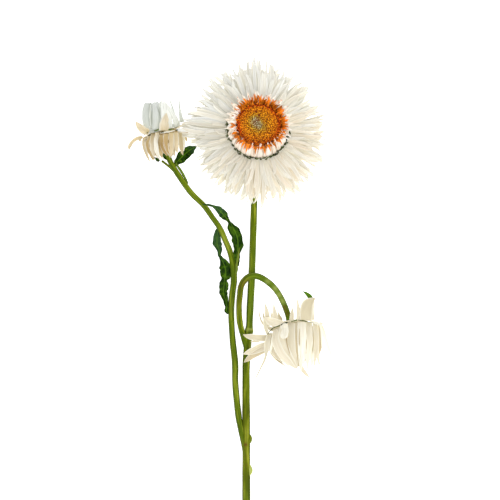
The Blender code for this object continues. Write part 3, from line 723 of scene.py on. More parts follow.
# Rings of the collar before and after the single ones: how many, side view, start, raggedness, roll,
# sway, cup, sectors to skip and tone.
WHITE_RINGS = (
    (34, WALL, 0, 0.12, 34, 0.6, (0.4, 0.9), FOOT_SIDE, white),
    (36, SECOND, 4, 0.14, 40, 0.6, (0.2, 0.8), FOOT_SIDE, white),
    (38, LEANING, 2, 0.12, 40, 0.7, (0.4, 1.0), OTHER_SIDES, white),
    (34, LEANING, 7, 0.20, 50, 0.9, (0.2, 0.8), OTHER_SIDES, white),
)
ORANGE_RINGS = (
    (34, SPLAYED, 1, 0.10, 40, 0.8, (0.2, 0.8), ((215, 325),), white),
    (42, FLAME, 2, 0.14, 50, 0.7, (0.2, 0.5), (), orange),
    (40, FLAME, 7, 0.24, 60, 0.8, (0.2, 0.5), (), orange),
    (34, LAPPING, 3, 0.16, 60, 0.8, (0.2, 0.5), ((130, 345),), orange),
    (44, CORE, 5, 0.16, 50, 0.6, (0.2, 0.5), (), ember),
)


def collar():
    """Upright bracts round the disc: a white wall whose tips turn out, with orange tips among them."""
    pile = Pile(202, OPEN_BLOOM)
    draw = pile.draw
    # Behind the bracts: an orange body, darkest at its top, fills the gap between disc and collar with
    # painted shade, and a white wall is darkened as painted shade where it shows between the fingers.
    turned(pile, ((8.9, 7.2), (9.8, 6.8), (10.4, 6.2)), 60, (0.6, 0.9, -1.0), 0.02, seed=3)
    turned(pile, ((10.2, 6.2), (11.5, 4.2), (12.0, 2.4), (12.2, 1.2)), 60, (0.6, 0.9, 2.0), 0.01, seed=4)
    for row in WHITE_RINGS:
        ring(pile, *row, columns=5)
    for turn, reach in LEFT_FLAMES:
        bract(pile, turn, FLAME, reach, sway=draw.uniform(-5, 5), spread=1.2, roll=(0, draw.uniform(-30, 30)),
              tone=(0.5, 0.2, -0.1), columns=5)
    for turn, reach in FOOT_HOOKS:
        bract(pile, turn, HOOKED, reach, sway=draw.uniform(-6, 6), spread=draw.uniform(0.8, 1.4),
              roll=(0, draw.uniform(-40, 40)), tone=(0.5, 0.2, draw.uniform(-0.4, 0.1)), columns=5)
    for row in ORANGE_RINGS:
        ring(pile, *row, columns=5)
    make(pile, "collar_bracts", COLLAR_PAPER, ["main_bloom_collar"])


def ring_scales(count=110, start=160, span=200):
    """Small crumpled olive scales that stick out where the collar leaves the rays."""
    pile = Pile(303, OPEN_BLOOM)
    draw = pile.draw
    for number in range(count):
        turn = start + (number + draw.uniform(-0.5, 0.5)) * span / count
        radius = draw.uniform(12.4, 13.5)
        height = draw.uniform(1.3, 2.6)
        low_left = math.exp(-(((turn - 232) / 26) ** 2))
        length = draw.uniform(0.5, 1.2) * (1 + 0.8 * low_left)
        lean = draw.uniform(0.3, 1.1)
        profile = (
            (radius - 0.5, height - 0.8, 0.5), (radius, height, draw.uniform(0.5, 1.1)),
            (radius + length * lean * 0.6, height + length * 0.4, 0.1),
        )
        bract(pile, turn, profile, sway=draw.uniform(-9, 9), rows=6, columns=5, cup=draw.uniform(0.3, 1.0),
              roll=(0, draw.uniform(-60, 60)), ruffle=0.3,
              tone=(draw.uniform() ** 0.6 * (0.3 if turn < 200 else 1), draw.uniform(), 0))
    make(pile, "ring_scales", DARK_SCALE)


def dome(radius):
    """Height of the disc at a distance from its middle, where it has a dip."""
    share = radius / DISC_RADIUS
    return DISC_CROWN - 0.55 - 0.9 * share ** 4 - 0.55 * np.exp(-((share / 0.28) ** 2))


def disc(count=1350, sides=5):
    """Domed disc of florets in the spiral of a seed head, with unopened grey green ones in the middle."""
    pile = Pile(404, OPEN_BLOOM)
    draw = pile.draw
    radii = np.linspace(0, 1, 9)[1:] * (DISC_RADIUS + 0.3)
    core = [(r, dome(r)) for r in radii] + [(DISC_RADIUS + 0.1, 7.6), (DISC_RADIUS - 0.4, 7.3)]
    turned(pile, core, 48, (0.95, 0.0, 0))
    heart = [(r, dome(r) - 0.08) for r in (0.6, 1.4, 2.3)] + [(2.6, dome(2.6) - 0.2)]
    turned(pile, heart, 32, (0.1, 0.3, 0))
    number = np.arange(count)
    share = np.sqrt((number + 0.5) / count)
    angle = number * GOLDEN_ANGLE + draw.uniform(-0.25, 0.25, count) / (3 + 30 * share)
    uneven = 1 + share ** 4 * (0.03 * np.sin(3 * angle + 1.0) + 0.02 * np.sin(7 * angle))
    radius = share * uneven * (DISC_RADIUS + 0.25)
    size = np.interp(share, (0, 0.3, 0.6, 1.0), (0.20, 0.22, 0.235, 0.235)) * draw.uniform(0.8, 1.15, count)
    tall = np.interp(share, (0, 0.25, 0.5, 0.9, 1.0), (0.30, 0.35, 0.55, 0.65, 0.5))
    tall = tall * draw.uniform(0.4, 1.4, count)
    foot = np.stack([radius * np.cos(angle), radius * np.sin(angle), dome(radius) - 0.15], -1)
    # A short line of dark pits above the middle, where florets have fallen out.
    for pit_x, pit_y in ((-0.9, 5.6), (-0.7, 4.8), (0.0, 3.8)):
        away = np.hypot(foot[:, 0] - pit_x, foot[:, 1] - pit_y)
        tall = np.where(away < 0.38, 0.1, tall)
    lean = draw.uniform(0.1, 0.45, count) * share ** 3
    upright = unit(np.stack([
        lean * np.cos(angle) + draw.uniform(-0.12, 0.12, count),
        lean * np.sin(angle) + draw.uniform(-0.12, 0.12, count), np.ones(count),
    ], -1))
    east = unit(np.cross(np.array((0.0, 1.0, 0.0)), upright))
    north = np.cross(upright, east)
    around = np.linspace(0, 2 * math.pi, sides, endpoint=False)
    rim = east[:, None] * np.cos(around)[None, :, None] + north[:, None] * np.sin(around)[None, :, None]
    # Each floret is a tube whose rings of points are at shares of its height, each with its width.
    levels = ((0.0, 0.75), (0.45, 1.0), (0.85, 0.9), (1.0, 0.6))
    rows = []
    for level, wide in levels:
        outline = foot[:, None] + rim * (size * wide)[:, None, None]
        rows.append(outline + upright[:, None] * (tall * level)[:, None, None])
    local = np.stack(rows, 1).reshape(count, -1, 3)
    each = local.shape[1]
    template = np.arange(each).reshape(len(levels), sides)
    offset = (number * each)[:, None, None]
    quads = strip_faces(np.column_stack([template, template[:, 0]]))[:, ::-1]
    faces = (quads[None] + offset).reshape(-1, 4)
    lid = (template[-1][None, None] + offset).reshape(-1, sides)
    base = (template[0][::-1][None, None] + offset).reshape(-1, sides)
    # Painted shade: the outermost florets turn dark red where the collar shades them, most at the
    # picture's top and right.
    edge = 0.94 + 0.06 * np.cos(angle - math.radians(95))
    # The grey green patch is a slanted oval, and the florets round it keep to rings.
    x, y = foot[:, 0] + 0.3, foot[:, 1] - 0.2
    oval = np.hypot((x - y) / 1.9, (x + y) / 1.15) / DISC_RADIUS
    ringed = np.clip((share - 0.3) / 0.3, 0, 1)
    place_in = oval * (1 - ringed) + share * ringed + 0.10 * np.clip(x / 1.3, -0.3, 1) * (1 - ringed)
    tone = np.zeros((count, each, 3))
    tone[..., 0] = np.minimum(place_in + draw.uniform(-0.06, 0.06, count), edge)[:, None].clip(0, 1)
    tone[..., 1] = np.repeat([level for level, _ in levels], sides)
    grain = np.zeros((count, each, 3))
    grain[..., 2] = (0.25 * (number % 2) + 0.75 * draw.uniform(0, 1, count))[:, None]
    points = pile.place.world(local.reshape(-1, 3))
    pile.add(points, (faces, lid, base), grain.reshape(-1, 3), tone.reshape(-1, 3))
    make(pile, "disc_florets", FLORETS, ["main_bloom_disc"], crisp=70)


def receptacle():
    """Back of the open bloom: a cone of overlapping straw and green scales."""
    pile = Pile(505, OPEN_BLOOM)
    mixed = toned((0, 1), (0, 1))
    turned(pile, (
        (10.6, -2.7), (10.2, -3.4), (8.4, -4.7), (6.5, -5.8), (4.6, -7.0), (3.2, -7.8), (2.0, -OPEN_DEPTH),
    ), 40, (0.5, 0.5, 0))
    for count, root, drop, reach in (
        (26, 9.2, -3.4, 4.6), (24, 7.4, -4.6, 4.2), (18, 5.6, -5.8, 3.8), (14, 4.0, -6.9, 3.2),
        (10, 2.6, -8.0, 2.6),
    ):
        profile = (
            (root, drop - 0.1, 1.6), (root + reach * 0.35, drop - 0.55, 2.4),
            (root + reach * 0.75, drop - 0.45, 1.9), (root + reach, drop + 0.2, 0.1),
        )
        start = pile.draw.uniform(0, 20)
        ring(pile, count, profile, start=start, ragged=0.1, cup=(-0.4, -0.2), tone=mixed, rows=8, columns=5)
    # Small scales that hug the top of the stem.
    hem = ((2.2, -8.2, 1.3), (2.0, -9.2, 1.5), (1.8, -10.0, 1.0), (1.7, -10.7, 0.1))
    ring(pile, 10, hem, ragged=0.1, roll=6, cup=(-0.4, -0.2), tone=mixed, rows=8, columns=5)
    make(pile, "receptacle_scales", STRAW_PAPER, ["main_bloom_receptacle"])


# The side blooms.

# Each laid bract is a run of (x, y, width) seen from above, the lift off the bloom's shell, the cup,
# the hue and shade of its paper, the shade partly the paper's own and partly painted shade, and the kind
# of its tip where that isn't pointed.
LEFT_SHELL = Shell(LEFT_BLOOM, (
    (-12.4, 7.5), (-8.0, 9.2), (-4.0, 9.5), (-1.5, 9.2), (0.0, 7.5), (3.0, 8.2), (7.0, 8.0), (10.0, 7.5),
    (13.0, 5.5),
))
LEFT_UPRIGHT = (
    (((-33.6, 71.4, 1.7), (-34.0, 76.0, 2.1), (-34.2, 79.4, 2.3), (-34.2, 81.3, 1.7)),
     -0.5, -0.2, 0.1, 0.9, "torn"),
    (((-29.4, 70.6, 1.7), (-29.4, 74.8, 2.1), (-30.7, 78.5, 2.1), (-31.9, 81.1, 1.3)),
     -0.4, -0.2, 0.2, 0.9, "torn"),
    (((-23.1, 72.2, 1.3), (-23.9, 76.4, 1.3), (-25.0, 80.2, 1.0), (-26.0, 83.2, 0.3)), -1.2, 0.3, 0.4, 0.4),
    (((-20.8, 73.1, 2.5), (-21.3, 76.4, 1.7), (-21.7, 80.2, 0.8), (-21.8, 84.2, 0.3)), -1.0, 0.2, 0.35, 0.5),
    (((-35.6, 70.4, 2.8), (-36.1, 75.0, 3.6), (-35.9, 79.8, 3.2), (-35.4, 81.4, 2.4)),
     0.0, -0.3, 0.3, 0.6, "torn"),
    (((-31.5, 70.0, 2.7), (-31.7, 75.2, 3.4), (-31.9, 79.0, 3.4), (-31.7, 81.9, 2.4)),
     0.1, -0.2, 0.35, 0.5, "torn"),
    (((-22.4, 71.2, 3.4), (-23.2, 74.3, 3.0), (-25.2, 78.1, 1.9), (-27.4, 81.2, 0.6)), 0.4, -0.3, 0.8, 0.3),
    (((-25.6, 70.6, 3.4), (-25.8, 74.3, 3.4), (-27.1, 78.5, 2.5), (-28.6, 82.3, 0.8)),
     0.3, -0.3, 0.9, 0.2, "torn"),
    (((-28.6, 70.6, 2.9), (-27.9, 74.8, 3.4), (-28.1, 79.0, 2.9), (-28.8, 82.7, 1.3)),
     0.6, -0.2, 0.8, 0.3, "split"),
    # Narrow strips painted grey green as shade in the gaps between bracts, and a pale one as a painted
    # highlight.
    (((-33.2, 71.5, 0.4), (-33.1, 76.0, 0.5), (-33.0, 79.6, 0.2)), 0.5, 0.6, 0.0, 1.0),
    (((-33.8, 71.5, 0.3), (-33.9, 76.0, 0.4), (-33.7, 80.2, 0.2)), 0.7, 0.8, 1.0, 0.0),
    (((-31.0, 79.8, 0.3), (-30.0, 76.6, 0.5), (-29.0, 73.6, 0.3)), 0.8, 0.6, 0.0, 1.0),
)
LEFT_SKIRT = (
    (((-33.8, 67.2, 1.7), (-35.1, 63.8, 2.1), (-34.2, 60.5, 2.1), (-32.1, 57.1, 0.4)), -0.3, 0.2, 0.9, 0.9),
    (((-32.8, 67.6, 2.1), (-33.0, 64.3, 2.5), (-32.8, 61.3, 2.1), (-32.1, 58.2, 0.4)), 0.0, 0.3, 0.25, 0.9),
    (((-29.2, 67.6, 1.7), (-29.0, 64.3, 2.1), (-28.1, 61.3, 1.9), (-26.7, 58.8, 0.4)), -0.2, 0.2, 0.95, 0.4),
    (((-27.1, 68.0, 2.1), (-27.3, 64.7, 2.5), (-26.7, 61.7, 2.1), (-25.8, 59.6, 0.4)), -0.1, 0.2, 0.85, 0.4),
    (((-21.4, 68.5, 1.9), (-21.0, 65.1, 2.3), (-20.8, 62.2, 2.1), (-20.2, 59.2, 0.4)), -0.1, 0.2, 0.45, 0.8),
    (((-25.0, 68.5, 2.1), (-25.2, 64.7, 2.5), (-25.2, 61.3, 2.1), (-24.8, 58.4, 0.4)), 0.2, 0.3, 0.5, 0.2),
    (((-23.1, 68.7, 1.9), (-22.9, 65.1, 2.1), (-22.9, 62.2, 1.9), (-22.5, 60.1, 0.4)), 0.3, 0.3, 0.45, 0.2),
    (((-30.7, 68.5, 1.7), (-31.2, 64.7, 1.9), (-30.9, 60.9, 1.9), (-29.8, 57.1, 0.4)), 0.4, 0.6, 0.05, 0.2),
    (((-21.0, 68.9, 0.8), (-19.7, 66.4, 0.8), (-19.6, 63.4, 0.8), (-19.9, 60.9, 0.3)), 0.2, 0.4, 0.0, 0.1),
    (((-30.0, 66.8, 0.5), (-29.9, 63.6, 0.6), (-29.4, 60.6, 0.2)), 0.5, 0.5, 1.0, 1.0),
    (((-26.0, 67.8, 0.5), (-26.1, 64.4, 0.6), (-25.8, 61.4, 0.2)), 0.3, 0.5, 1.0, 0.9),
    # A pale strip along a fold's edge: a painted highlight.
    (((-29.8, 68.2, 0.5), (-26.6, 68.7, 0.9), (-23.5, 69.4, 0.4)), 1.1, 0.8, 0.0, 0.0),
    (((-27.7, 69.3, 4.4), (-27.6, 71.8, 4.6), (-27.3, 74.3, 3.2), (-27.1, 76.7, 0.3)), 1.3, -0.4, 0.35, 0.1),
)
# Bracts free of the shell are runs of (x, y, z, width), with a cup, a hue and a shade.
LEFT_FREE = (
    (((-34.4, 68.7, 15.2, 2.3), (-36.5, 69.5, 15.8, 3.3), (-38.4, 71.2, 15.5, 2.7),
      (-40.2, 73.4, 14.5, 0.2)), 0.4, 0.4, 0.1),
    (((-37.4, 66.8, 12.8, 1.3), (-39.5, 66.2, 13.0, 1.5), (-41.4, 64.9, 13.0, 1.5), (-42.6, 63.0, 12.6, 1.6),
      (-43.0, 61.7, 12.0, 0.9)), 0.3, 0.45, 0.5),
    (((-37.4, 67.0, 12.6, 1.3), (-38.4, 65.9, 12.8, 1.4), (-38.0, 65.0, 12.6, 0.5)), 0.4, 0.6, 0.5),
    (((-23.1, 70.1, 15.8, 0.6), (-20.6, 71.6, 16.0, 0.8), (-18.1, 73.6, 15.2, 0.2)), 0.5, 0.2, 0.1),
    (((-21.0, 69.0, 13.6, 1.3), (-19.1, 68.8, 12.8, 1.5), (-17.8, 68.5, 12.0, 0.2)), 0.3, 0.95, 0.3),
    (((-20.6, 67.8, 12.4, 1.3), (-19.1, 66.4, 11.4, 1.3), (-18.5, 64.9, 10.5, 0.2)), 0.3, 0.7, 0.5),
)
# Small green scales where a side bloom's bracts join, and dark strips of painted shade in their gaps: run and
# hue.
LEFT_RIM = (
    (((-36.6, 67.6, 0.5), (-34.8, 68.6, 0.8)), 0.3), (((-32.2, 69.1, 0.6), (-30.1, 69.8, 0.8)), 0.3),
    (((-28.0, 69.3, 0.4), (-25.8, 69.8, 0.8), (-23.7, 70.1, 0.3)), 0.4),
    (((-23.3, 70.6, 0.6), (-21.6, 71.4, 0.7)), 0.3), (((-34.9, 67.2, 0.6), (-33.6, 67.8, 1.1)), 1.0),
    (((-29.7, 68.2, 0.7), (-28.2, 68.8, 1.1)), 1.0), (((-23.3, 69.3, 0.6), (-22.0, 70.0, 1.0)), 1.0),
)
NODDING_SHELL = Shell(NODDING_BLOOM, (
    (-2.0, 8.5), (0.0, 8.6), (1.5, 11.0), (4.0, 12.0), (8.0, 12.2), (12.0, 11.0), (16.0, 8.6), (20.0, 5.5),
    (24.0, 3.0),
))
NODDING_BELL = (
    (((27.3, -11.2, 2.0), (27.3, -18.5, 2.5), (27.9, -24.4, 2.5), (28.3, -29.4, 0.8)), -0.4, -0.2, 0.75, 0.5),
    (((28.4, -26.4, 1.8), (29.6, -30.0, 1.7), (31.2, -32.3, 1.5), (33.0, -34.2, 0.2)), -0.8, 0.2, 0.5, 0.3),
    (((33.8, -23.0, 1.9), (33.9, -27.4, 1.5), (33.6, -30.6, 0.2)), -0.1, 0.2, 0.1, 0.2),
    (((29.0, -24.6, 2.0), (29.2, -28.4, 1.6), (29.4, -31.2, 0.2)), 0.2, 0.2, 0.1, 0.2),
    (((36.0, -21.0, 1.7), (36.5, -26.0, 1.3), (36.8, -29.6, 0.2)), 0.0, 0.2, 0.15, 0.3),
    (((35.7, -23.5, 1.1), (37.0, -27.7, 0.9), (38.4, -30.7, 0.2)), -0.6, 0.2, 0.2, 0.4),
    (((37.0, -12.2, 1.5), (37.6, -16.4, 1.7), (37.4, -21.8, 1.5), (36.1, -27.3, 0.3)), -0.3, -0.2, 0.75, 0.3),
    (((25.6, -11.2, 2.6), (25.0, -16.8, 3.6), (25.4, -22.7, 3.4), (26.9, -27.7, 2.1), (27.7, -30.4, 0.5)),
     -0.1, -0.2, 0.3, 0.7, "split"),
    (((21.8, -12.4, 3.0), (21.4, -18.5, 3.8), (23.1, -23.5, 4.0), (25.6, -27.7, 2.9), (27.7, -30.2, 0.6)),
     0.1, -0.2, 0.3, 0.4),
    (((35.3, -11.0, 2.3), (35.9, -18.5, 2.5), (35.5, -24.4, 2.1), (34.9, -29.4, 0.5)), 0.1, -0.2, 0.4, 0.4),
    (((32.8, -11.0, 2.8), (32.8, -18.5, 3.1), (32.5, -24.4, 2.9), (31.9, -30.7, 0.6)), 0.3, -0.2, 0.2, 0.2),
    (((29.6, -10.8, 3.4), (29.8, -18.5, 4.0), (30.0, -24.4, 3.6), (30.2, -29.0, 0.9)),
     0.5, -0.2, 0.05, 0.1, "torn"),
    (((18.7, -13.9, 2.5), (18.5, -18.5, 3.8), (20.6, -23.5, 4.2), (23.9, -27.3, 3.4), (27.3, -30.2, 0.6)),
     0.5, -0.2, 0.35, 0.2),
    (((16.4, -15.5, 2.1), (15.3, -19.3, 3.1), (15.1, -22.7, 2.5), (14.2, -26.5, 1.5), (12.4, -30.2, 1.0),
      (10.4, -34.4, 0.5)), 0.2, 0.3, 0.15, 0.9),
    # A pale sliver: a painted highlight.
    (((17.4, -16.8, 0.8), (17.0, -21.0, 1.2), (16.0, -24.8, 0.2)), 0.8, 0.4, 0.0, 0.1),
    (((22.1, -11.3, 3.0), (22.1, -13.6, 3.8), (22.2, -16.2, 3.5), (22.3, -17.7, 1.3)), 1.1, -0.3, 0.1, 0.1),
    (((33.2, -10.5, 1.8), (35.8, -11.0, 2.2), (38.0, -12.4, 0.4)), 0.9, -0.3, 0.0, 0.1),
    (((34.9, -10.9, 0.8), (37.6, -13.0, 0.9), (38.0, -19.3, 0.8), (38.6, -26.9, 0.2)), 0.8, 0.4, 0.0, 0.0),
    # Narrow dark strips: painted shade in the gaps between the bell's bracts.
    (((28.6, -13.5, 0.3), (28.5, -18.5, 0.5), (28.7, -23.0, 0.2)), 0.6, 0.4, 0.85, 0.5),
    (((23.6, -13.5, 0.4), (23.2, -18.5, 0.6), (24.6, -24.0, 0.2)), 0.6, 0.4, 0.9, 0.6),
    (((31.4, -12.5, 0.3), (31.5, -18.5, 0.5), (31.4, -24.0, 0.2)), 0.7, 0.4, 0.7, 0.3),
    (((34.2, -12.5, 0.3), (34.5, -18.5, 0.5), (34.2, -24.0, 0.2)), 0.5, 0.4, 0.7, 0.3),
)
NODDING_FREE = (
    (((16.5, -17.8, 12.5, 2.9), (12.5, -17.6, 11.8, 2.9), (9.0, -17.3, 10.0, 2.6), (6.8, -17.0, 8.6, 1.6),
      (5.0, -16.3, 7.4, 0.2)), 0.5, 0.55, 0.2),
    (((12.0, -18.8, 11.2, 1.2), (10.0, -19.1, 10.6, 1.1), (8.2, -19.2, 9.8, 0.2)), 0.3, 0.5, 0.3),
    (((16.4, -20.6, 12.6, 3.4), (12.8, -21.6, 11.2, 3.8), (9.8, -22.9, 9.8, 3.2), (7.4, -23.8, 8.6, 2.2),
      (5.0, -24.6, 7.4, 0.2)), 0.3, 0.45, 0.1),
    (((16.0, -21.6, 11.8, 3.0), (12.4, -23.2, 10.4, 3.2), (9.4, -25.0, 9.0, 2.8), (7.2, -26.6, 8.0, 2.0),
      (5.4, -28.1, 7.0, 0.2)), 0.3, 0.7, 0.6),
    (((37.2, -11.2, 13.0, 1.2), (38.6, -14.3, 12.4, 1.6), (40.0, -19.3, 11.4, 1.7), (41.6, -23.5, 10.4, 1.2),
      (42.8, -27.2, 9.6, 0.3)), 0.3, 0.0, 0.4),
    (((37.4, -10.9, 14.0, 0.5), (42.0, -13.9, 14.0, 0.5), (45.4, -16.5, 13.0, 0.2)), 0.5, 0.1, 0.2),
)
NODDING_BACK = (
    (((15.3, -9.2, 14.0, 2.1), (15.0, -6.7, 13.4, 1.9), (14.6, -4.6, 12.8, 1.1), (14.3, -3.1, 12.0, 0.2)),
     0.3, 0.3, 0.6),
    (((18.7, -9.7, 16.6, 2.7), (18.4, -7.1, 15.6, 1.9), (18.1, -5.0, 14.6, 1.1), (17.9, -3.1, 13.6, 0.2)),
     0.3, 0.35, 0.3),
    (((21.2, -10.3, 18.0, 1.1), (21.0, -9.2, 17.2, 0.8), (20.6, -8.2, 16.4, 0.2)), 0.3, 1.0, 1.0),
    (((15.5, -16.0, 16.4, 1.3), (14.5, -13.0, 15.6, 1.7), (14.3, -10.1, 15.0, 1.7),
      (14.1, -8.6, 14.4, 0.3)), 0.3, 0.15, 0.9),
    (((21.8, -10.7, 19.2, 0.8), (18.9, -11.1, 18.0, 3.4), (16.4, -10.5, 16.4, 3.4),
      (14.1, -9.0, 14.8, 0.4)), 0.5, 0.35, 0.1),
    (((28.3, -9.9, 18.4, 2.1), (28.3, -6.7, 17.8, 1.8), (28.1, -3.8, 16.8, 1.1), (27.7, -0.8, 15.4, 0.2)),
     0.3, 0.35, 0.3),
    (((25.4, -9.9, 18.8, 2.0), (25.6, -7.4, 18.2, 1.6), (25.8, -4.8, 17.2, 0.2)), 0.3, 0.5, 0.5),
    (((34.2, -10.1, 15.8, 1.3), (34.2, -5.9, 15.8, 1.3), (34.4, -2.9, 15.0, 1.1), (35.5, -0.4, 13.6, 0.2)),
     0.3, 0.2, 1.0),
    (((31.3, -10.3, 17.4, 5.4), (31.5, -6.7, 17.4, 5.9), (32.3, -3.4, 16.4, 5.0), (35.1, -0.8, 14.6, 0.9)),
     0.25, 0.6, 0.9),
)
NODDING_RIM = (
    (((15.1, -16.2, 0.3), (16.4, -14.7, 0.5), (17.6, -13.4, 0.4)), 0.7),
    (((17.6, -13.4, 0.4), (20.6, -12.2, 0.5)), 0.6),
    (((20.8, -12.1, 0.4), (23.1, -11.1, 0.8), (24.8, -10.7, 0.5)), 1.0),
    (((25.2, -10.6, 0.4), (27.7, -10.0, 0.5)), 0.5),
    (((28.0, -10.0, 0.3), (30.2, -10.3, 0.5), (32.3, -10.9, 0.4)), 0.7),
    (((32.4, -11.0, 0.4), (35.2, -11.2, 0.5)), 0.5),
)


def lay(pile, shell, table, **shape):
    """Lay a table's bracts over a side bloom."""
    for run, lift, cup, hue, shade, *kind in table:
        laid(pile, shell, run, lift, rows=14, columns=9, cup=cup, kind=kind[0] if kind else "pointed",
             tone=(hue, shade, 0), **shape)


def lay_free(pile, table, **shape):
    """Grow a table's bracts that stand free of a side bloom."""
    for run, cup, hue, shade in table:
        free(pile, run, rows=14, columns=9, cup=cup, tone=(hue, shade, 0), **shape)


# The left bloom.

def left_white():
    """Half closed white bracts of the left bloom, painted grey for the shade that shows through the thin
    paper.
    """
    pile = Pile(606, LEFT_BLOOM)
    turned(pile, ((2.0, 3.4), (4.2, 2.8), (5.8, 1.4), (6.0, 0.3)), 32, (0.2, 0.5, 0))
    outer = ((5.3, 0.7, 2.4), (7.4, 2.8, 3.2), (8.2, 6.0, 3.6), (7.8, 9.2, 3.2), (6.7, 12.2, 0.9))
    middle = ((4.2, 1.6, 2.0), (5.6, 4.4, 2.6), (5.6, 8.0, 2.4), (4.6, 10.4, 1.2), (3.8, 11.6, 0.1))
    inner = ((2.6, 2.4, 1.4), (3.8, 5.5, 2.0), (3.7, 8.6, 1.8), (2.8, 10.4, 0.9), (2.2, 11.4, 0.1))
    heart = ((1.2, 3.2, 1.2), (2.0, 5.8, 1.6), (1.9, 8.4, 1.4), (1.2, 10.0, 0.7), (0.7, 10.9, 0.1))
    cool = toned((0.2, 0.8), (0.3, 1))
    pale = toned((0.6, 1), (0, 0.5))
    ring(pile, 13, outer, ragged=0.05, cup=(0.2, 0.45), skip=((0, 222), (318, 360)), tone=cool,
         kinds=("blunt", "torn", "split"), rows=13, columns=9, pleat=0.1)
    ring(pile, 16, middle, start=12, ragged=0.07, tone=pale, pleat=0.1)
    ring(pile, 15, inner, start=30, ragged=0.07, tone=pale, rows=11)
    ring(pile, 10, heart, start=18, ragged=0.10, tone=pale, rows=11)
    lay(pile, LEFT_SHELL, LEFT_UPRIGHT, pleat=0.08, ruffle=0.1, roll=(0, 6, -6))
    make(pile, "left_white_bracts", SHADED_WHITE_PAPER, ["left_bloom_white_bracts"])


def left_cream():
    """Cream bracts on the left bloom's back: a folded skirt and a few that stand up."""
    pile = Pile(707, LEFT_BLOOM)
    turned(pile, ((5.6, 0.0), (7.0, -0.5), (6.2, -2.2), (3.6, -4.0), (1.5, -LEFT_DEPTH)), 32, (0.7, 0.8, 0))
    skirt = ((6.0, -0.7, 1.8), (8.0, -1.2, 2.8), (9.0, -4.0, 3.0), (8.9, -7.6, 2.5), (7.9, -11.8, 0.1))
    lining = ((4.8, -2.0, 1.8), (6.7, -4.2, 2.6), (7.2, -8.0, 2.2), (6.4, -11.4, 0.1))
    standing = ((5.6, -0.6, 3.2), (8.4, 0.2, 4.2), (10.0, 3.2, 3.4), (10.3, 7.2, 0.1))
    warm = toned((0.25, 1), (0.2, 1))
    beside_leaf = (175, 250)
    ring(pile, 19, skirt, start=5, ragged=0.07, roll=18, cup=(-0.75, -0.3), skip=((20, 160), beside_leaf),
         tone=warm, kinds=("pointed", "pointed", "split"), pleat=0.08)
    ring(pile, 14, lining, start=22, ragged=0.08, roll=14, cup=(-0.6, -0.3), skip=(beside_leaf,), tone=warm,
         rows=11, pleat=0.08)
    for turn in range(185, 246, 15):
        bract(pile, turn, skirt, reach=0.72, cup=-0.4, tone=warm(turn, pile.draw))
    bract(pile, 300, standing, reach=0.9, cup=0.35, tone=(0.4, 0.3, 0))
    lay(pile, LEFT_SHELL, LEFT_SKIRT, pleat=0.06, ruffle=0.12, roll=(0, 10, -8))
    lay_free(pile, LEFT_FREE, ruffle=0.15, roll=(0, -10, 15))
    make(pile, "left_cream_bracts", CREAM_PAPER, ["left_bloom_cream_bracts"])


# The nodding bloom.

def paling(turn, draw):
    """Creamier on the left of the picture and whiter on the right."""
    return (0.35 - 0.3 * math.cos(math.radians(turn)) + draw.uniform(-0.15, 0.15), draw.uniform(0, 0.8), 0)


def nodding_hanging():
    """Long bracts of the nodding bloom, which hang as a bell, with stray ones at its sides."""
    pile = Pile(808, NODDING_BLOOM)
    turned(pile, ((2.5, 5.2), (4.8, 4.4), (7.2, 2.4), (7.6, 0.3)), 32, (0.3, 0.5, 0))
    outer = ((6.6, 0.9, 2.6), (9.2, 3.0, 4.0), (9.8, 7.0, 4.2), (8.2, 11.4, 3.2), (5.0, 15.6, 0.3))
    middle = ((5.4, 2.4, 2.6), (7.2, 6.0, 3.6), (6.8, 10.4, 3.2), (4.0, 15.8, 0.3))
    inner = ((3.0, 3.9, 2.0), (4.4, 7.4, 2.6), (4.2, 11.4, 2.2), (2.6, 15.8, 0.3))
    ring(pile, 16, outer, start=8, ragged=0.05, roll=10, cup=(-0.35, -0.1), skip=((20, 160),), tone=paling,
         kinds=("pointed", "blunt", "split"), rows=15, columns=9, pleat=0.1)
    ring(pile, 13, middle, start=18, cup=(-0.35, -0.1), tone=paling, kinds=("pointed", "torn"), rows=14,
         pleat=0.1)
    ring(pile, 8, inner, start=10, ragged=0.07, tone=paling, kinds=("torn", "pointed"), rows=13)
    lay(pile, NODDING_SHELL, NODDING_BELL, pleat=0.07, ruffle=0.1, roll=(0, 8, -8))
    lay_free(pile, NODDING_FREE, ruffle=0.12, roll=(0, -10, 15), pleat=0.05)
    make(pile, "nodding_hanging_bracts", BELL_PAPER, ["nodding_bloom_hanging_bracts"])


def nodding_folded():
    """Outer bracts of the nodding bloom, folded back up round the end of the arch."""
    pile = Pile(909, NODDING_BLOOM)
    core = ((6.8, 0.0), (8.4, -0.6), (6.4, -1.8), (2.8, -2.6), (1.4, -NODDING_DEPTH))
    turned(pile, core, 32, (0.4, 0.5, 0))
    back = ((6.2, -0.7, 3.0), (9.4, -1.5, 3.8), (11.4, -4.4, 3.2), (11.8, -8.0, 1.8), (11.4, -11.0, 0.1))
    soft = toned((0.2, 0.7), (0.1, 0.7))
    hidden_leaf = (320, 360)
    ring(pile, 15, back, start=12, cup=(-0.6, -0.2), skip=((10, 165), hidden_leaf), tone=soft, pleat=0.06)
    lay_free(pile, NODDING_BACK, ruffle=0.12, roll=(0, 8, -6), pleat=0.05)
    make(pile, "nodding_folded_bracts", BELL_PAPER, ["nodding_bloom_folded_bracts"])


def side_scales():
    """Small green scales where each side bloom's bracts join, and dark strips of painted shade in their gaps.
    """
    pile = Pile(1010)
    for shell, table, lift in ((LEFT_SHELL, LEFT_RIM, 1.0), (NODDING_SHELL, NODDING_RIM, 1.2)):
        for run, hue in table:
            laid(pile, shell, run, lift, rows=7, columns=5, cup=-0.3, ruffle=0.3, tone=(hue, 0.3, 0))
    make(pile, "side_bloom_scales", DARK_SCALE)


# Stems and leaves.

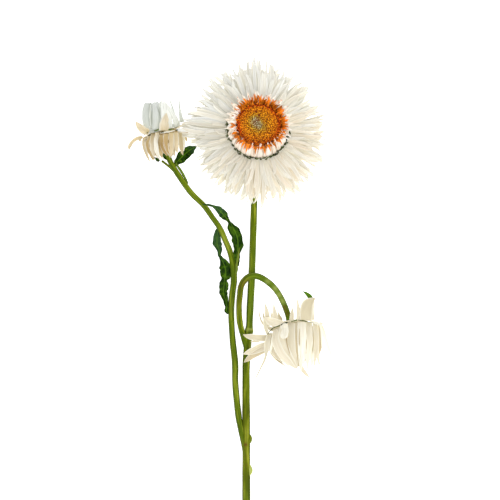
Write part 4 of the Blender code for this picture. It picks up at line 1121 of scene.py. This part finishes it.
CUT_END = -98.4
MAIN_STEM = (
    (6.4, CUT_END, 1.5, 1.65), (6.4, -82.0, 1.5, 1.65), (6.4, -62.6, 1.5, 1.62), (6.3, -39.1, 1.5, 1.55),
    (6.4, -28.6, 1.5, 1.52), (7.2, -17.6, 1.5, 1.55), (7.5, -14.9, 1.6, 1.85), (7.7, -12.6, 1.5, 1.45),
    (8.0, -5.0, 1.5, 1.45), (8.8, 10.9, 1.5, 1.42), (9.66, 37.4, 1.7, 1.35), (10.1, 52.0, 1.9, 1.32),
    (10.3, 59.5, 2.3, 1.32), (10.45, 63.0, 3.1, 1.35), (10.6, 65.0, 4.4, 1.4),
)
LEFT_BRANCH = (
    (6.6, -70.0, 1.5, 1.0), (5.3, -62.0, 1.5, 1.2), (4.0, -56.0, 1.5, 1.25), (3.0, -50.0, 1.4, 1.3),
    (1.8, -37.4, 1.4, 1.3), (1.68, -28.6, 1.5, 1.35), (0.63, -18.5, 1.5, 1.25), (0.05, -8.0, 1.7, 1.25),
    (0.42, 0.0, 1.9, 1.25), (1.2, 6.5, 2.1, 1.3), (0.84, 13.0, 2.4, 1.35), (-0.34, 18.1, 2.8, 1.2),
    (-2.2, 22.8, 3.3, 1.15), (-4.8, 28.6, 3.9, 1.15), (-7.85, 33.0, 4.6, 1.15), (-11.6, 38.2, 5.6, 1.15),
    (-17.2, 43.8, 6.9, 1.15), (-23.5, 52.9, 8.4, 1.15), (-26.5, 58.6, 8.8, 1.15),
)
ARCH = (
    (7.1, -25.0, 1.6, 0.9), (5.8, -19.6, 2.2, 1.15), (3.8, -11.8, 3.6, 1.2), (3.36, -5.0, 4.8, 1.2),
    (3.7, 0.0, 5.7, 1.2), (4.3, 4.2, 6.5, 1.25), (6.2, 7.1, 7.3, 1.3), (8.8, 8.4, 8.0, 1.3),
    (11.9, 8.0, 8.6, 1.3), (15.2, 6.1, 9.2, 1.25), (18.2, 3.4, 9.7, 1.2), (20.6, 0.0, 10.0, 1.2),
    (22.4, -3.7, 10.2, 1.15), (23.5, -6.6, 10.3, 1.15),
)
SIDE_SHOOT = ((-23.2, 51.8, 8.2, 0.6), (-26.0, 54.4, 7.4, 0.5), (-29.2, 56.9, 6.4, 0.5))
SMALL_STALK = (
    (-23.4, 55.8, 8.0, 0.45), (-21.6, 53.4, 8.0, 0.55), (-19.9, 50.6, 7.6, 0.55), (-18.2, 47.4, 6.9, 0.3),
)
RIGHT_STALK = (
    (2.0, 9.4, 3.4, 0.4), (2.4, 11.3, 3.9, 0.6), (2.3, 13.3, 4.3, 0.5), (2.8, 15.8, 4.7, 0.45),
    (3.1, 17.8, 4.9, 0.4), (3.4, 20.2, 4.9, 0.15),
)
STUB = ((7.3, -63.0, 1.8, 0.4), (8.0, -61.4, 2.0, 0.8), (8.2, -60.2, 2.0, 0.7), (7.9, -58.8, 2.0, 0.3))
BUD = (
    (7.7, -76.2, 2.0, 0.25), (8.1, -75.0, 2.0, 0.75), (8.2, -73.8, 2.0, 0.95), (8.0, -72.4, 2.0, 0.65),
    (7.6, -71.4, 2.0, 0.2),
)
# A stem that runs this near to upright takes its side from the X axis.
STEEP = 0.9


def neck(bloom, depth, radius):
    """Last two points of a stem, straight behind a bloom, which end a gap short of its core."""
    centre, axis, _ = bloom
    back = unit(np.array(axis, float))
    seat = np.array(centre) - back * (depth + GAP)
    return (*(seat - back * NECK), radius), (*seat, radius)


def rod(pile, run, ribs=9, depth=0.045, step=0.9, sides=36, tone=(0, 0, 0), seed=1):
    """Ribbed stem along a run of (x, y, z, radius), flat where it lies on the table.

    Tone is three values, or a function that gives them for points on the skin.
    """
    draw = np.random.default_rng(seed)
    run = np.array(run, float)
    gaps = np.linalg.norm(np.diff(run[:, :3], axis=0), axis=1)
    length = gaps.sum()
    knots = np.concatenate([[0], np.cumsum(gaps)]) / length
    rows = max(int(length / step), 4)
    even = np.linspace(0, 1, rows)
    share = np.interp(even, knots, np.linspace(0, 1, len(run)))
    middle = smooth(run[:, :3], share)
    radius = smooth(run[:, 3], share)
    along = unit(np.gradient(middle, axis=0))
    side = unit(np.cross(UP, along))
    side = np.where(np.abs(along @ UP)[:, None] > STEEP, np.array((-1.0, 0.0, 0.0)), side)
    up = np.cross(along, side)
    angle = np.linspace(0, 2 * math.pi, sides, endpoint=False)
    phase = draw.uniform(0, 2 * math.pi, 3)
    drift = 0.5 * np.sin(4 * even + phase[0])[:, None]
    rib = depth * np.cos(ribs * angle[None, :] + drift + phase[1])
    rib = rib + 0.35 * depth * np.cos(2.35 * ribs * angle[None, :] - drift + phase[2])
    lumps = 0.02 * np.sin(38 * even + phase[2]) + 0.015 * np.sin(91 * even + phase[0])
    r = radius[:, None] * (1 + rib + lumps[:, None])
    rim = side[:, None] * np.cos(angle)[None, :, None] + up[:, None] * np.sin(angle)[None, :, None]
    skin = middle[:, None] + rim * r[..., None]
    points = np.vstack([skin.reshape(-1, 3), middle[[0, -1]]])
    points[:, 2] = np.maximum(points[:, 2], TABLE_TOP)
    grain = np.empty((rows, sides, 3))
    grain[..., 0] = angle / (2 * math.pi)
    grain[..., 1] = (even * length / 100)[:, None]
    grain[..., 2] = draw.uniform()
    grain = np.vstack([grain.reshape(-1, 3), [(0.5, 0, 0), (0.5, 1, 0)]])
    pile.add(points, tube_faces(rows, sides, rising=True), grain, tone(points) if callable(tone) else tone)


def spot(points, place, size):
    """1 at a place on the skin, which falls softly to nothing about two sizes away from it."""
    away = np.linalg.norm(points - np.array(place, float), axis=1)
    return np.exp(-((away / size) ** 2))


def main_skin(points):
    """Blue green above the joint, a pale ring on the joint and three small brown marks near the foot."""
    tone = np.zeros((len(points), 3))
    above = np.clip((points[:, 1] + 18) / 6, 0, 1) * np.clip((30 - points[:, 1]) / 30, 0, 1)
    tone[:, 0] = 0.5 * above + 0.5 * np.clip((-78 - points[:, 1]) / 12, 0, 1)
    tone[:, 1] = 0.14 * np.clip((-36 - points[:, 1]) / 14, 0, 1)
    for x, y, size, deep in ((6.1, -63.0, 1.0, 1.0), (6.3, -68.0, 0.6, 0.5), (6.4, -71.4, 0.6, 0.6)):
        tone[:, 1] = np.maximum(tone[:, 1], deep * spot(points, (x, y, 3.1), size))
    tone[:, 2] = 0.6 * np.exp(-(((points[:, 1] + 14.4) / 0.45) ** 2))
    return tone


def arch_skin(points):
    """Blue green arch, stained brown inside its bend and where it meets the bloom.

    The pale patches along its top are painted highlights.
    """
    tone = np.zeros((len(points), 3))
    tone[:, 0] = 0.6 * np.clip((points[:, 0] - 4.0) / 5, 0, 1)
    tone[:, 1] = 0.7 * spot(points, (6.4, 5.0, 7.6), 2.2) + 0.25 * spot(points, (3.9, -2.0, 6.2), 5.0)
    tone[:, 1] = np.maximum(tone[:, 1], 0.8 * spot(points, (3.4, 4.2, 6.8), 1.0))
    for x, y, size in ((22.3, -4.4, 0.6), (22.7, -5.4, 0.7), (23.1, -6.4, 0.7), (23.6, -7.4, 0.9)):
        tone[:, 1] = np.maximum(tone[:, 1], 0.8 * spot(points, (x, y, 11.4), size)).clip(0, 1)
    # Pale patches along the arch's top: painted highlights.
    for x, y, z, size in (
        (15.4, 6.1, 10.2, 1.0), (18.6, 3.2, 10.8, 1.1), (20.2, 0.4, 11.0, 1.3), (21.6, -2.2, 11.2, 1.2),
    ):
        tone[:, 2] = np.maximum(tone[:, 2], 0.42 * spot(points, (x, y, z), size))
    return tone


def stem():
    """Main stem and both branches, with a side shoot, two stalks, a stub and a bud."""
    pile = Pile()
    rod(pile, MAIN_STEM + neck(OPEN_BLOOM, OPEN_DEPTH, 1.5), tone=main_skin, seed=11)
    rod(pile, LEFT_BRANCH + neck(LEFT_BLOOM, LEFT_DEPTH, 1.2), ribs=8, tone=(0.25, 0, 0), seed=12)
    rod(pile, ARCH + neck(NODDING_BLOOM, NODDING_DEPTH, 1.2), ribs=8, tone=arch_skin, seed=13)
    rod(pile, SIDE_SHOOT, ribs=5, sides=16, seed=14)
    rod(pile, SMALL_STALK, ribs=5, sides=16, tone=(0.9, 0, 0.1), seed=17)
    rod(pile, RIGHT_STALK, ribs=5, sides=16, tone=(0.5, 0, 0.1), seed=18)
    rod(pile, STUB, ribs=5, step=0.4, sides=16, seed=15)
    rod(pile, BUD, ribs=4, step=0.35, sides=16, tone=(0, 0, 0.7), seed=16)
    make(pile, "stem_skin", STEM_SKIN, ["stem"])


RIGHT_LEAF = (
    (2.7, 12.4, 3.6, 1.4, 20), (2.4, 15.1, 3.9, 2.0, 20), (2.4, 17.6, 4.2, 2.6, 10),
    (2.9, 20.6, 4.5, 3.7, 0), (2.65, 24.4, 5.0, 4.4, -10), (1.05, 28.1, 5.4, 3.8, -20),
    (-0.6, 31.1, 5.9, 2.2, -50), (-2.1, 32.9, 6.4, 2.6, -20), (-3.7, 34.7, 7.0, 3.3, 10),
    (-5.4, 36.4, 7.6, 2.4, 20), (-7.4, 37.7, 8.2, 1.1, 10), (-9.9, 38.4, 8.7, 0.8, 0),
    (-12.6, 38.6, 8.9, 0.1, 0),
)
LEFT_LEAF = (
    (-1.3, -7.8, 1.9, 0.8, 0), (-1.9, -6.4, 1.7, 1.9, 10), (-1.8, -4.6, 1.6, 1.5, 10),
    (-2.3, -2.1, 1.5, 2.3, 10), (-3.0, -0.2, 1.4, 2.7, 5), (-3.3, 1.4, 1.3, 3.0, 0),
    (-3.2, 3.0, 1.2, 3.7, -5), (-3.0, 4.9, 1.2, 3.4, -10), (-2.9, 6.7, 1.2, 2.6, 0),
    (-2.5, 8.2, 1.2, 3.9, 10), (-2.3, 10.2, 1.2, 4.4, 5), (-2.6, 11.9, 1.3, 4.7, 0),
    (-3.2, 13.6, 1.4, 3.4, 10), (-4.2, 15.7, 1.5, 1.8, 30), (-4.8, 17.2, 1.6, 1.5, 40),
    (-5.0, 19.2, 1.6, 2.5, 20), (-5.7, 20.9, 1.5, 3.0, 10), (-6.0, 22.8, 1.4, 3.4, 0),
    (-6.0, 25.2, 1.3, 2.9, -5), (-5.6, 27.6, 1.2, 1.7, -5), (-5.2, 29.4, 1.1, 0.1, 0),
)
SMALL_LEAF = (
    (-24.0, 54.8, 8.0, 1.1, 20), (-22.4, 56.8, 6.8, 3.0, 10), (-20.2, 59.2, 5.2, 4.3, 5),
    (-17.9, 61.2, 3.8, 3.8, 0), (-15.9, 62.5, 2.8, 2.0, 0), (-14.3, 63.3, 2.2, 0.1, 0),
)
CALYX_LEAF = (
    (31.1, -9.9, 10.5, 1.5, 0), (31.9, -7.6, 9.8, 1.9, 0), (32.9, -5.2, 9.4, 2.0, 0),
    (33.7, -2.9, 9.6, 2.0, 0), (33.3, -0.7, 9.8, 1.9, 0), (32.0, 0.8, 9.8, 1.3, 0), (30.1, 2.0, 9.8, 0.1, 0),
)
# Two leaflets beside the small leaf.
LEAFLETS = (
    ((-26.2, 57.6, 9.2, 1.4, 0), (-27.6, 58.8, 9.4, 2.2, 0), (-29.2, 59.8, 9.2, 0.3, 0)),
    ((-30.0, 57.2, 7.4, 1.0, 0), (-31.0, 57.4, 7.6, 1.5, 0), (-32.3, 58.4, 7.4, 0.2, 0)),
)
LEAF_SHAPE = dict(
    rows=96, columns=13, cup=0.35, ruffle=0.5, waves=4.6, frill=0.08, crumple=0.16, pleat=0.05, pleats=4,
    thickness=0.25,
)


def leaf(name, runs, node, seed, **changes):
    """Leaf along each run of (x, y, z, width, turn), creased at its rib and crinkled at its edges."""
    pile = Pile(seed)
    for run in runs:
        run = np.array(run, float)
        across = np.cross(UP, unit(run[-1, :3] - run[0, :3]))
        widths = 1.1 * run[:, 3]
        blade(pile, run[:, :3], across, widths, roll=run[:, 4], **{**LEAF_SHAPE, **changes})
    make(pile, name, LEAF_SKIN, [node], crisp=60)


def leaves():
    leaf("right_leaf_blade", (RIGHT_LEAF,), "right_leaf", 21)
    leaf("left_leaf_blade", (LEFT_LEAF,), "left_leaf", 22, waves=5.0)
    leaf("small_leaf_blade", (SMALL_LEAF, *LEAFLETS), "small_leaf", 23, rows=40, waves=1.6)
    leaf("calyx_leaf_blade", (CALYX_LEAF,), "calyx_leaf", 24, rows=36, ruffle=0.15, waves=2.0, frill=0,
         tone=(0, 0.9, 0))


# Table, light and camera. The sizes of the table and the lamp are in metres.

TABLE_RADIUS = 2.2


def table():
    """Round white table top under the flower."""
    middle = (0, 0, TABLE_TOP * MM)
    bpy.ops.mesh.primitive_circle_add(vertices=96, radius=TABLE_RADIUS, fill_type="NGON", location=middle)
    top = bpy.context.object
    top.name = "table_top"
    top.data.materials.append(table_card())


def lamp(name, place, size, power, colour):
    """Large soft square light that faces the flower."""
    data = bpy.data.lights.new(name, "AREA")
    data.shape = "SQUARE"
    data.size = size
    data.energy = power
    data.color = hex_colour(colour)[:3]
    thing = bpy.data.objects.new(name, data)
    bpy.context.scene.collection.objects.link(thing)
    thing.location = place
    aim = Vector((SIGHT[0] * MM, SIGHT[1] * MM, 0)) - Vector(place)
    thing.rotation_euler = aim.to_track_quat("-Z", "Y").to_euler()


def light():
    world = bpy.data.worlds.new("soft room")
    world.use_nodes = True
    shade = world.node_tree.nodes["Background"]
    shade.inputs["Color"].default_value = hex_colour("#F6F6FF")
    shade.inputs["Strength"].default_value = 1.0
    bpy.context.scene.world = world
    lamp("key_light", (0.25, -0.3, 1.3), 0.5, 8.0, "#FFFDF6")


def camera():
    data = bpy.data.cameras.new("camera")
    data.sensor_width = SENSOR
    data.lens = SENSOR * CAMERA_DISTANCE / PICTURE_WIDTH
    data.clip_end = 10
    thing = bpy.data.objects.new("camera", data)
    thing.location = (SIGHT[0] * MM, SIGHT[1] * MM, (SIGHT_HEIGHT + CAMERA_DISTANCE) * MM)
    bpy.context.scene.collection.objects.link(thing)
    bpy.context.scene.camera = thing
    bpy.context.scene.view_settings.view_transform = "Standard"


camera()
rays()
collar()
ring_scales()
disc()
receptacle()
left_white()
left_cream()
nodding_hanging()
nodding_folded()
side_scales()
stem()
leaves()
table()
light()
